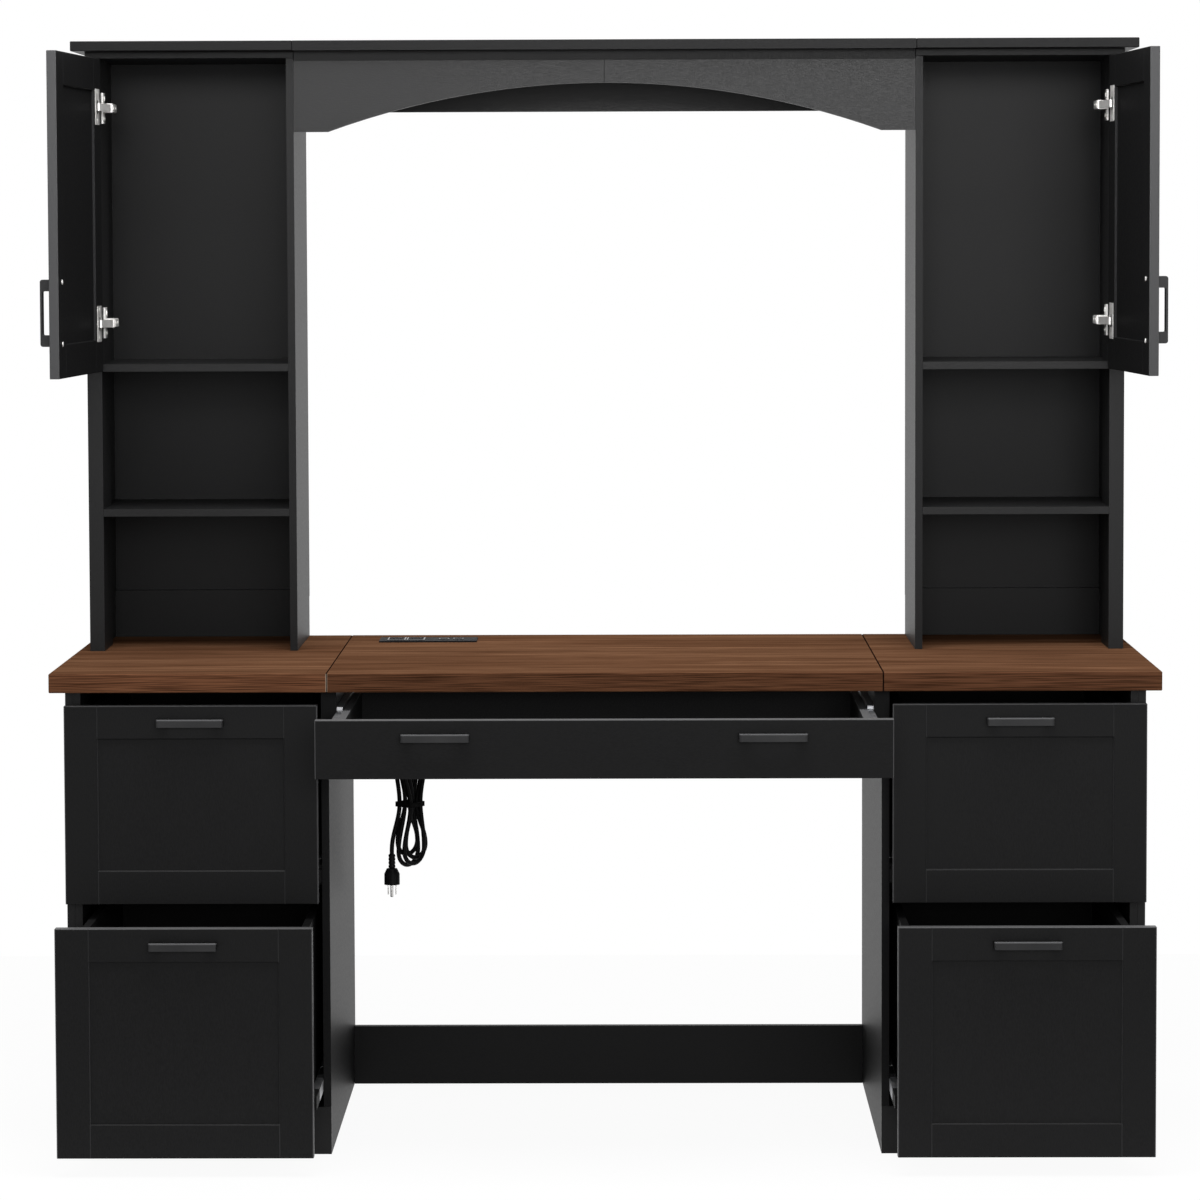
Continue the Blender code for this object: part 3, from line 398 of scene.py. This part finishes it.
def walnut(name, shift, edge):
    """Laminate with a walnut grain along X, taken from another place on the sheet for each board. Its edge
    band is paler where edge is higher."""
    look = Look(name, (0.155, 0.072, 0.038), 0.5, specular=0.0)
    sheet = look.turned(look.place, location=shift)
    figure = look.noise(look.turned(sheet, scale=(1.1, 15.0, 15.0)), 1.0, 7.0, 0.62, 1.1)
    streak = look.noise(look.turned(sheet, scale=(2.2, 110.0, 110.0)), 1.0, 5.0, 0.62, 0.5)
    pores = look.noise(look.turned(sheet, scale=(11.0, 620.0, 620.0)), 1.0, 2.0, 0.5)
    brown = look.ramp(figure, (0.28, (0.058, 0.025, 0.012)), (0.44, (0.126, 0.060, 0.031)),
                      (0.60, (0.180, 0.091, 0.049)), (0.76, (0.092, 0.042, 0.021)))
    brown = look.mix(look.range(streak, 0.42, 0.66, 0.0, 0.85), brown, (0.050, 0.021, 0.010))
    brown = look.mix(look.range(pores, 0.56, 0.68, 0.0, 0.70), brown, (0.034, 0.013, 0.006))
    place = look.axes()
    from_seam = look.sums("SUBTRACT", look.sums("ABSOLUTE", place["X"]), SEAM_X)
    seam = look.range(look.sums("ABSOLUTE", from_seam), SEAM_HALF, SEAM_HALF * 1.6, 1.0, 0.0)
    front = look.range(place["Y"], BAND_FROM, BAND_TO, 1.0, 0.0)
    fine = look.noise(look.turned(sheet, scale=(12.0, 850.0, 850.0)), 1.0, 1.0, 0.5)
    lines = look.range(fine, 0.38, 0.66)
    pale = (0.132 * edge, 0.056 * edge, 0.028 * edge)
    deep = (0.036 * edge, 0.014 * edge, 0.007 * edge)
    band = look.mix(0.15, look.mix(lines, pale, deep), brown)
    brown = look.mix(look.sums("MULTIPLY", lines, 0.35), brown, (0.045, 0.018, 0.009))
    brown = look.mix(front, brown, band)
    raw = look.sums("MULTIPLY", front, look.sums("LESS_THAN", place["X"], 0.0))
    brown = look.mix(seam, brown, look.mix(raw, (0.012, 0.006, 0.004), (0.66, 0.56, 0.44)))
    look.colour(brown)
    look.roughness(look.range(streak, 0.3, 0.7, 0.46, 0.60))
    relief = look.sums("SUBTRACT", look.sums("MULTIPLY", streak, 0.4), look.range(pores, 0.52, 0.72))
    look.bump(relief, 0.00012, 0.5)
    return look


for node, shift, edge in (("desktop_left", (3.1, 0.37, 0.0), 1.5),
                          ("desktop_centre", (0.0, 0.0, 0.0), 1.0),
                          ("desktop_right", (7.7, 1.13, 0.0), 1.05)):
    wear(nodes[node], walnut("walnut_" + node, shift, edge))

# Carcass boards: particle board faced with a black laminate that has a fine grained print, for the
# pedestals, the stretcher, the hutch's gables, shelves, backs and caps. Cams and dowels hold them, out of
# sight.
COOL = 1.03
UPRIGHT, LEVEL = (1.0, 1.0, 0.30), (0.30, 1.0, 1.0)


def black_board(name, grain, tone=1.0, sheen=0.15):
    """Black laminate with a fine embossed print, stretched along a board's length by grain."""
    look = Look(name, (0.009, 0.009, 0.0093), 0.42, specular=sheen)
    print_place = look.turned(look.place, scale=grain)
    emboss = look.noise(print_place, 620.0, 3.0, 0.6)
    drift = look.noise(look.place, 3.5, 3.0)
    dark, light = ((shade, shade, shade * COOL) for shade in (0.0062 * tone, 0.0102 * tone))
    printed = look.ramp(emboss, (0.32, dark), (0.68, light))
    look.colour(look.mix(look.range(drift, 0.35, 0.65, 0.0, 0.35), printed, light))
    look.roughness(look.range(emboss, 0.3, 0.7, 0.36, 0.50))
    look.emboss = emboss
    look.bump(emboss, 0.0002, 0.35)
    return look


for boards, look in (
        (("ped_outer", "ped_front", "hutch_outer"), black_board("black_laminate_upright", UPRIGHT)),
        (("hutch_inner",), black_board("black_laminate_bay", UPRIGHT, sheen=0.11)),
        (("ped_inner",), black_board("black_laminate_kneehole", UPRIGHT, sheen=0.045)),
        (("shelf_", "hutch_back_rail"), black_board("black_laminate_level", LEVEL)),
        # The stretcher and the caps take a darker copy of the laminate at 0.8 tone, painted shade, and a
        # lower sheen.
        (("stretcher", "hutch_top"), black_board("black_laminate_dull_painted_shade", LEVEL, 0.8, 0.08)),
        (("ped_back", "tower_back"), black_board("black_laminate_back", (1.0, 1.0, 0.6), sheen=0.10))):
    for node in nodes:
        if node.startswith(boards):
            wear(nodes[node], look)

# Valance: two boards that meet in the middle of the bay, each sawn with half of the arch.
# The joint shows as a fine line.
sawn = black_board("black_laminate_valance", LEVEL, sheen=0.19)
joint = sawn.range(sawn.sums("ABSOLUTE", sawn.axes()["X"]), 0.0003, 0.0007)
sawn.bump(sawn.sums("ADD", sawn.sums("MULTIPLY", sawn.emboss, 0.35), joint), 0.0005, 0.8)
wear(nodes["valance"], sawn)

# Framed fronts and doors: two stiles over the full height and two rails between them, round a sunk panel,
# all faced in black. Fine grooves show where the rails meet the stiles, painted paler as a highlight.
FRAME_W = 0.052
# Widths of the painted highlights: paler bands along the edges of fronts, doors and the centre box.
PAINTED_HIGHLIGHT_FROM, PAINTED_HIGHLIGHT_TO = 0.0018, 0.0008


def with_painted_highlight(look, facing, axis, edge):
    """The facing with a painted highlight, a paler band, at this edge along an axis."""
    off = look.sums("ABSOLUTE", look.sums("SUBTRACT", axis, edge))
    return look.mix(look.range(off, PAINTED_HIGHLIGHT_TO, PAINTED_HIGHLIGHT_FROM, 1.0, 0.0), facing, (0.085, 0.085, 0.087))


def framed(name, lines, turn=0.0, pivot=(0.0, 0.0, 0.0), sides=(), tops=(), sheen=0.08):
    """Black facing with fine joint lines at these places along X, turned with a door about its pivot. The
    joint lines are painted paler as a painted highlight, and the sides and tops get painted highlights."""
    look = black_board(name, UPRIGHT, sheen=sheen)
    shift = -(Matrix.Rotation(turn, 3, "Z") @ Vector(pivot))
    across = look.axes(look.turned(look.place, location=shift, rotation=(0, 0, turn)))
    near = [look.sums("ABSOLUTE", look.sums("SUBTRACT", across["X"], x)) for x in lines]
    # The joint lines are real grooves in the bump, and their paler colour is a painted highlight.
    joint_and_highlight = look.range(look.sums("MINIMUM", *near), 0.0003, 0.0009)
    facing = look.mix(joint_and_highlight, (0.030, 0.030, 0.031), look.tint())
    # Painted highlights along the sides and tops.
    for axis, edges in (("X", sides), ("Z", tops)):
        for edge in edges:
            facing = with_painted_highlight(look, facing, across[axis], edge)
    look.colour(facing)
    look.bump(look.sums("ADD", look.sums("MULTIPLY", look.emboss, 0.3), joint_and_highlight), 0.0006, 0.8)
    return look


# Painted highlights along each front's sides and along the tops of the upper and lower fronts.
for end in ("left", "right"):
    low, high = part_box("drawer_front_upper_" + end)
    front_look = framed("black_framed_front_" + end, (low.x + FRAME_W, high.x - FRAME_W),
                        sides=(low.x, high.x), tops=(high.z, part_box("drawer_front_lower_" + end)[1].z))
    for level in ("upper_", "lower_"):
        wear(nodes["drawer_front_" + level + end], front_look)
plain = black_board("black_plain_front", LEVEL, sheen=0.07)
place = plain.axes()
low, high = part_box("drawer_front_centre")
# Painted highlights along the centre front's two sides and its top.
for axis, edge in (("X", low.x), ("X", high.x), ("Z", high.z)):
    plain.colour(with_painted_highlight(plain, plain.tint(), place[axis], edge))
wear(nodes["drawer_front_centre"], plain)

DOOR_W = 0.336
OPEN = math.radians(94.0)
PIVOT_X, PIVOT_Y = 0.839, 0.1078
HUTCH_OUT = 0.845
for side, end in ((-1, "left"), (1, "right")):
    edge = side * (HUTCH_OUT - PIVOT_X)
    lines = (edge - side * FRAME_W, edge - side * (DOOR_W - FRAME_W))
    pivot = (side * PIVOT_X, PIVOT_Y, 0.0)
    # A painted highlight along each door's free edge.
    wear(nodes["door_" + end], framed("black_framed_door_" + end, lines, -side * OPEN, pivot,
                                      sides=(edge - side * DOOR_W,), sheen=0.012))

# Drawer boxes: dark grey board. The pedestals' boxes take a far darker copy of it, painted shade, and the
# centre drawer's box has a painted highlight along its top edges.
# Glued at the corners, with the bottom let into a groove and the front screwed on from inside.


def box_board(name, tone):
    """Chipboard in a dark facing, whose chips show faintly."""
    look = Look(name, (0.045 * tone, 0.045 * tone, 0.046 * tone), 0.55, specular=0.06)
    chips = look.noise(look.place, 420.0, 4.0, 0.65)
    dark, light = 0.034 * tone, 0.060 * tone
    look.colour(look.ramp(chips, (0.3, (dark, dark, dark * 1.03)), (0.7, (light, light, light * 1.02))))
    look.roughness(look.range(chips, 0.3, 0.7, 0.48, 0.62))
    look.bump(chips, 0.0002, 0.4)
    return look


# The pedestals' boxes take the board at 0.14 tone, far darker than the centre box's 0.5: painted shade.
file_box_painted_shade, pen_box = box_board("box_board_painted_shade", 0.14), box_board("grey_box_board", 0.5)
# A painted highlight, a paler band, along the top edges of the centre drawer's box.
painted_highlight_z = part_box("drawer_box_centre")[1].z
pen_box.colour(with_painted_highlight(pen_box, pen_box.tint(), pen_box.axes()["Z"], painted_highlight_z))
for node in nodes:
    if node.startswith("drawer_box"):
        wear(nodes[node], pen_box if node.endswith("centre") else file_box_painted_shade)

# Drawer slides: zinc plated steel. On the carcass a channel folded over each pair of CAD rails, open at its
# front end, and on each drawer a rolled runner over the CAD's bar.
SHEET = 0.0008
RAIL_W = 0.0095
BAR_H = 0.020
RAIL_T = 0.005
CLEAR = 0.00005
FACE_GAP = 0.0002
BAR_GAP = 0.00035
RUNNER_FROM, RUNNER_TO = 0.00012, 0.0126
RUNNER_OVER = 0.00015
PAST_FRONT, PAST_BACK = 0.0006, 0.0002
SET_IN = 0.060
zinc = Look("zinc_plate", (0.40, 0.41, 0.42), 0.42, 1.0)
rolled = zinc.noise(zinc.turned(zinc.place, scale=(1.0, 0.04, 1.0)), 900.0, 3.0)
zinc.colour(zinc.ramp(zinc.noise(zinc.place, 60.0), (0.3, (0.33, 0.34, 0.36)), (0.7, (0.46, 0.46, 0.47))))
zinc.roughness(zinc.range(rolled, 0.3, 0.7, 0.36, 0.52))
zinc.bump(rolled, 0.00008, 0.4)


def lipped(name, face, way, z_near, z_far, y0, y1, tabbed):
    """A sheet folded over one rail of a pair: a flange away from the bar, a lip down the rail's tip and
    perhaps a front tab."""
    up = 1 if z_far > z_near else -1
    a, b = sorted((face + way * FACE_GAP, face + way * (RAIL_W + CLEAR + SHEET)))
    c, d = sorted((z_far + up * CLEAR, z_far + up * (CLEAR + SHEET)))
    made = block(name, (a, y0 - SHEET, c), (b, y1, d))
    bend = face + way * (RAIL_W + CLEAR)
    bpy.ops.object.mode_set(mode="EDIT")
    bpy.ops.mesh.select_all(action="SELECT")
    bpy.ops.mesh.bisect(plane_co=(bend, 0, 0), plane_no=(1, 0, 0))
    bpy.ops.mesh.select_all(action="DESELECT")
    bpy.ops.object.mode_set(mode="OBJECT")
    for face_of in made.data.polygons:
        face_of.select = face_of.normal.z * up < -0.9 and (face_of.center.x - bend) * way > 0
    bpy.ops.object.mode_set(mode="EDIT")
    bpy.ops.mesh.extrude_region_move(TRANSFORM_OT_translate={"value": (0, 0, z_near - z_far)})
    bpy.ops.object.mode_set(mode="OBJECT")
    if not tabbed:
        return ease(made, 0.0002, 1)
    tab_z = sorted((z_near, z_far))
    tab = block(name + "_tab", (a, y0 - SHEET, tab_z[0]), (b, y0 - CLEAR, tab_z[1]))
    return gather(name, [ease(made, 0.0002, 1), ease(tab, 0.0002, 1)])


channels = []
RAIL_FRONT = -0.1566
PED_FACES, CLEAT_FACE = (0.4445, 0.821), 0.4205
for drawer, mid, length, pull in (
        ("upper_left", 0.4425, 0.450, 0.016), ("lower_left", 0.110, 0.450, 0.140),
        ("upper_right", 0.4425, 0.450, 0.016), ("lower_right", 0.110, 0.450, 0.140),
        ("centre", 0.691, 0.350, 0.180)):
    side = -1 if drawer.endswith("left") else 1
    faces = [(side * PED_FACES[0], side), (side * PED_FACES[1], -side)]
    if drawer == "centre":
        faces = [(-CLEAT_FACE, 1), (CLEAT_FACE, -1)]
    start = RAIL_FRONT + (0.0 if drawer == "centre" else SET_IN)
    runners = []
    for face, inward in faces:
        for up in (-1, 1):
            near = mid + up * (BAR_H / 2 + BAR_GAP)
            far = near + up * (RAIL_T - CLEAR)
            channels.append(lipped("channel", face, inward, near, far, start, RAIL_FRONT + length,
                                   drawer == "centre"))
        a, b = sorted((face + inward * RUNNER_FROM, face + inward * RUNNER_TO))
        runner = block("runner", (a, start - pull - PAST_FRONT, mid - BAR_H / 2 - RUNNER_OVER),
                       (b, RAIL_FRONT - pull + length + PAST_BACK, mid + BAR_H / 2 + RUNNER_OVER))
        runners.append(ease(runner, 0.0012, 2))
    runner = smooth(gather("slide_runners_" + drawer, runners))
    wear(runner, zinc)
    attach(runner, "drawer_" + drawer)
slide_channels = gather("slide_channels", channels)
wear(slide_channels, zinc)
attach(slide_channels, "frame")

# Bar pulls: zinc castings in a satin black lacquer. On the drawers' pulls the grip's top edge has a painted
# highlight and the feet painted shade. Screws hold them from inside the doors, and their plated heads show
# there.
GRIP_T = 0.0035
SCREW_R, SCREW_H = 0.0040, 0.0016
SLOT_LONG, SLOT_HALF, SLOT_FLOOR = 0.0024, 0.0005, 0.0007


def lacquered(name, box=None):
    """Satin black lacquer. On a drawer's pull the grip's top edge has a painted highlight and the feet a
    painted shade, near black.
    """
    look = Look(name, (0.022, 0.022, 0.023), 0.34, specular=0.15)
    rub = look.noise(look.place, 18.0, 3.0)
    tint = look.ramp(rub, (0.35, (0.026, 0.026, 0.027)), (0.75, (0.036, 0.036, 0.037)))
    if box:
        low, high = box
        place = look.axes()
        # Painted highlight along the grip's top edge, painted shade on the feet.
        painted_highlight_top = look.range(place["Z"], high.z - 0.0022, high.z - 0.0012)
        painted_shade_feet = look.range(place["Y"], low.y + GRIP_T, low.y + GRIP_T + 0.001)
        tint = look.mix(painted_shade_feet, look.mix(painted_highlight_top, tint, (0.14, 0.14, 0.145)), (0.003, 0.003, 0.003))
    look.colour(tint)
    look.roughness(look.range(rub, 0.3, 0.7, 0.30, 0.38))
    look.bump(look.noise(look.place, 1500.0, 2.0), 0.00008, 0.4)
    return look


door_lacquer = lacquered("black_pull_lacquer")
for node in nodes:
    if node.startswith("door_handle"):
        wear(nodes[node], door_lacquer)
    if node.startswith("drawer_handle"):
        wear(nodes[node], lacquered("black_lacquer_" + node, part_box(node)))

head = rod("screw_head", (0, 0, SCREW_H / 2), SCREW_R, SCREW_H, sides=32)
ease(head, 0.0010, 3, 60)
for half_x, half_y in ((SLOT_LONG, SLOT_HALF), (SLOT_HALF, SLOT_LONG)):
    cut(head, block("slot", (-half_x, -half_y, SLOT_FLOOR), (half_x, half_y, 2 * SCREW_H)))
smooth(head)
TURN_TO = {"X": Matrix.Rotation(math.pi / 2, 4, "Y"), "-X": Matrix.Rotation(-math.pi / 2, 4, "Y"),
           "Y": Matrix.Rotation(-math.pi / 2, 4, "X")}


def screw(place, facing, size=1.0, low=1.0):
    """A copy of the screw head on a face, turned to its outward direction."""
    made = head.copy()
    made.data = head.data.copy()
    made.name = made.data.name = "screw"
    shaped = Matrix.Diagonal((size, size, size * low, 1.0))
    made.matrix_world = Matrix.Translation(place) @ TURN_TO[facing] @ shaped
    bpy.context.scene.collection.objects.link(made)
    return settle(made)


def open_door(side):
    """The turn from a closed door to the open one of the rest pose."""
    to = Matrix.Translation((side * PIVOT_X, PIVOT_Y, 0.0))
    return to @ Matrix.Rotation(side * OPEN, 4, "Z") @ to.inverted()


DOOR_BACK = 0.1302
PULL_Z = 1.3255
PULL_HALF = 0.048
for side, end in ((-1, "left"), (1, "right")):
    x = side * (HUTCH_OUT - DOOR_W + FRAME_W / 2)
    heads = [screw((x, DOOR_BACK, PULL_Z + step), "Y") for step in (-PULL_HALF, PULL_HALF)]
    pull_screws = gather("pull_screws_" + end, heads)
    pull_screws.matrix_world = open_door(side)
    wear(settle(pull_screws), nickel)
    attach(pull_screws, "door_" + end)

# Concealed hinges: pressed steel, nickel plated. The CAD's arm and link are joined by a flange with a sunk
# cup on the door, a capped arm with its two adjusting screws, and screws through the mounting plate's wings.
HINGE_Z = (1.302, 1.652)
CUP_IN = 0.0283
CUP_OUT = 0.0023
CUP_R = 0.0115
CUP_GAP, CUP_RISE, CUP_T = 0.0001, 0.00008, 0.00014
FLANGE = Vector((0.0158, 0.0007, 0.029))
FLANGE_SCREW = 0.0225
ARM_FACE, CAP_T = 0.8014, 0.0012
CAP_FROM, CAP_TO, CAP_HALF = 0.1450, 0.1895, 0.0062
ADJUST_Y, ADJUST_UP = (0.1530, 0.1780), 0.0011
PLATE_SCREW = Vector((0.8177, 0.1667, 0.0165))
for node in nodes:
    if node.startswith("hinge"):
        wear(nodes[node], nickel)
# The cup's hollow is not modelled: a flat disc in dark metal sits in the flange's bore, painted shade for it.
cup_painted_shade = Look("hinge_cup", (0.20, 0.20, 0.20), 0.35, 1.0)
cup_painted_shade.roughness(cup_painted_shade.range(cup_painted_shade.noise(cup_painted_shade.place, 200.0), 0.3, 0.7, 0.28, 0.45))
for side, end in ((-1, "left"), (1, "right")):
    flanges, cups, fittings = [], [], []
    x = side * (HUTCH_OUT - CUP_IN)
    facing = "-X" if side > 0 else "X"
    for z in HINGE_Z:
        plate = block("flange", (x - FLANGE.x, DOOR_BACK, z - FLANGE.z),
                      (x + FLANGE.x, DOOR_BACK + FLANGE.y, z + FLANGE.z))
        ease(plate, 0.0050, 4, 80)
        flanges.append(cut(plate, rod("bore", (x + side * CUP_OUT, DOOR_BACK, z), CUP_R, 0.01, "Y", 48)))
        for step in (-FLANGE_SCREW, FLANGE_SCREW):
            flanges.append(screw((x, DOOR_BACK + FLANGE.y, z + step), "Y", 0.9, 0.2))
        cup = rod("cup", (x + side * CUP_OUT, DOOR_BACK + CUP_RISE, z), CUP_R - CUP_GAP, CUP_T, "Y", 48)
        cups.append(ease(cup, 0.00005, 1))
        # On the gable: cap over the arm, its two adjusting screws, and the plate's two screws
        a, b = sorted((side * ARM_FACE, side * (ARM_FACE - CAP_T)))
        cap = block("cap", (a, CAP_FROM, z - CAP_HALF), (b, CAP_TO, z + CAP_HALF))
        fittings.append(ease(cap, 0.0010, 3))
        for y in ADJUST_Y:
            fittings.append(screw((side * (ARM_FACE - ADJUST_UP), y, z), facing, 0.75, 0.6))
        for step in (-PLATE_SCREW.z, PLATE_SCREW.z):
            fittings.append(screw((side * PLATE_SCREW.x, PLATE_SCREW.y, z + step), facing))
    flange = gather("hinge_flanges_" + end, flanges)
    cup = gather("hinge_cups_" + end, cups)
    fitting = gather("hinge_fittings_" + end, fittings)
    for made, look, body in ((flange, nickel, "door_"), (cup, cup_painted_shade, "door_"), (fitting, nickel, None)):
        if body:
            made.matrix_world = open_door(side)
            settle(made)
        wear(made, look)
        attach(made, body + end if body else "frame")
bpy.data.objects.remove(head)

# Power strip: a moulded box let into the top, with two socket faces and two charging ports in raised
# bezels. Clips hold the box in its cut-out and the rim lies on the top. The bezels are moulded apart in a
# glossier grade.
shell = Look("black_strip_shell", (0.010, 0.010, 0.0105), 0.55, specular=0.03)
shell.roughness(shell.range(shell.noise(shell.place, 30.0), 0.3, 0.7, 0.50, 0.62))
shell.bump(shell.noise(shell.place, 1400.0, 2.0), 0.0001, 0.5)
wear(nodes["power_strip"], shell)
STRIP = Vector((-0.2985, 0.2864, 0.7678))
SOCKET, PORT = ((0.0150, 0.0200), (0.0128, 0.0178)), ((0.0085, 0.0060), (0.0068, 0.0040))
BEZEL_DOWN, BEZEL_UP, THROUGH = 0.0002, 0.0009, 0.003
bezels = []
for along, (outer, inner) in ((-0.053, SOCKET), (-0.021, SOCKET), (0.026, PORT), (0.050, PORT)):
    at = STRIP + Vector((along, 0, 0))
    bezel = block("bezel", at - Vector((*outer, BEZEL_DOWN)), at + Vector((*outer, BEZEL_UP)))
    ease(bezel, 0.0003, 2)
    window = block("window", at - Vector((*inner, THROUGH)), at + Vector((*inner, THROUGH)))
    bezels.append(cut(bezel, ease(window, 0.0015, 3)))
strip_bezels = gather("power_strip_bezels", bezels)
gloss = Look("glossy_moulding", (0.020, 0.020, 0.021), 0.18, specular=0.14)
gloss.roughness(gloss.range(gloss.noise(gloss.place, 40.0), 0.3, 0.7, 0.14, 0.24))
gloss.bump(gloss.noise(gloss.place, 300.0, 2.0), 0.00005, 0.3)
wear(strip_bezels, gloss)
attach(strip_bezels, "frame")

# Stage: a white floor under the desk and an even white surround, as in a cut-out catalogue picture. Three
# soft lamps light it: overhead and a little in front, far in front at the hutch's height, and a flagged strip
# for the hutch's head.
FLOOR_SHOWN = 0.94
fresh()
bpy.ops.mesh.primitive_plane_add(size=1.0, location=(0.0, 0.50, 0.0))
floor = bpy.context.object
floor.name = "floor"
floor.scale = (4.0, 2.1, 1.0)
settle(floor)
ground = bpy.data.materials.new("white_floor")
ground.use_nodes = True
tree = ground.node_tree
paint = tree.nodes["Principled BSDF"]
paint.inputs["Base Color"].default_value = (0.85, 0.85, 0.85, 1.0)
paint.inputs["Roughness"].default_value = 0.9
glow = tree.nodes.new("ShaderNodeEmission")


def showing(tree):
    """1 for a ray that shows the background: from the camera, off a polished face or through glass."""
    rays = tree.nodes.new("ShaderNodeLightPath")
    seen = rays.outputs["Is Camera Ray"]
    for kind in ("Is Glossy Ray", "Is Transmission Ray"):
        either = tree.nodes.new("ShaderNodeMath")
        either.operation = "MAXIMUM"
        tree.links.new(seen, either.inputs[0])
        tree.links.new(rays.outputs[kind], either.inputs[1])
        seen = either.outputs[0]
    return seen


share = tree.nodes.new("ShaderNodeMath")
share.operation = "MULTIPLY"
share.inputs[1].default_value = FLOOR_SHOWN
tree.links.new(showing(tree), share.inputs[0])
both = tree.nodes.new("ShaderNodeMixShader")
tree.links.new(share.outputs[0], both.inputs[0])
tree.links.new(paint.outputs[0], both.inputs[1])
tree.links.new(glow.outputs[0], both.inputs[2])
tree.links.new(both.outputs[0], tree.nodes["Material Output"].inputs["Surface"])
floor.data.materials.append(ground)

world = bpy.data.worlds.new("studio")
bpy.context.scene.world = world
world.use_nodes = True
tree = world.node_tree
surround = tree.nodes["Background"]
way = tree.nodes.new("ShaderNodeTexCoord")
split = tree.nodes.new("ShaderNodeSeparateXYZ")
tree.links.new(way.outputs["Generated"], split.inputs[0])


def grade(socket, low, high, to_low, to_high):
    """A level that rises smoothly with one direction of the surround."""
    node = tree.nodes.new("ShaderNodeMapRange")
    node.interpolation_type = "SMOOTHSTEP"
    tree.links.new(socket, node.inputs["Value"])
    for name, value in (("From Min", low), ("From Max", high), ("To Min", to_low), ("To Max", to_high)):
        node.inputs[name].default_value = value
    return node.outputs["Result"]


above = grade(split.outputs["Z"], -0.12, 0.30, 0.02, 0.30)
behind = grade(split.outputs["Y"], -0.10, 0.25, 0.0, 1.0)
level = tree.nodes.new("ShaderNodeMix")
tree.links.new(behind, level.inputs["Factor"])
tree.links.new(above, level.inputs["A"])
level.inputs["B"].default_value = 0.72
shown = tree.nodes.new("ShaderNodeMix")
tree.links.new(showing(tree), shown.inputs["Factor"])
tree.links.new(level.outputs["Result"], shown.inputs["A"])
shown.inputs["B"].default_value = 1.0
tree.links.new(shown.outputs["Result"], surround.inputs["Strength"])
surround.inputs["Color"].default_value = (1.0, 1.0, 1.0, 1.0)

for name, place, aim, size, power, spread in (
        ("overhead_box", (0.0, -0.9, 3.6), (0.0, 0.1, 0.8), (3.2, 1.4), 130.0, 180.0),
        ("front_box", (0.7, -5.2, 1.8), (0.1, 0.0, 1.1), (3.0, 1.6), 104.0, 180.0),
        ("valance_box", (0.0, -2.4, 2.15), (0.0, 0.13, 1.74), (2.6, 0.5), 3.0, 40.0)):
    lamp = bpy.data.lights.new(name, "AREA")
    lamp.shape = "RECTANGLE"
    lamp.size, lamp.size_y = size
    lamp.energy = power
    lamp.spread = math.radians(spread)
    hung = bpy.data.objects.new(name, lamp)
    hung.location = place
    hung.rotation_euler = (Vector(aim) - Vector(place)).to_track_quat("-Z", "Y").to_euler()
    hung.visible_camera = False
    bpy.context.scene.collection.objects.link(hung)

bpy.context.scene.view_settings.view_transform = "Standard"
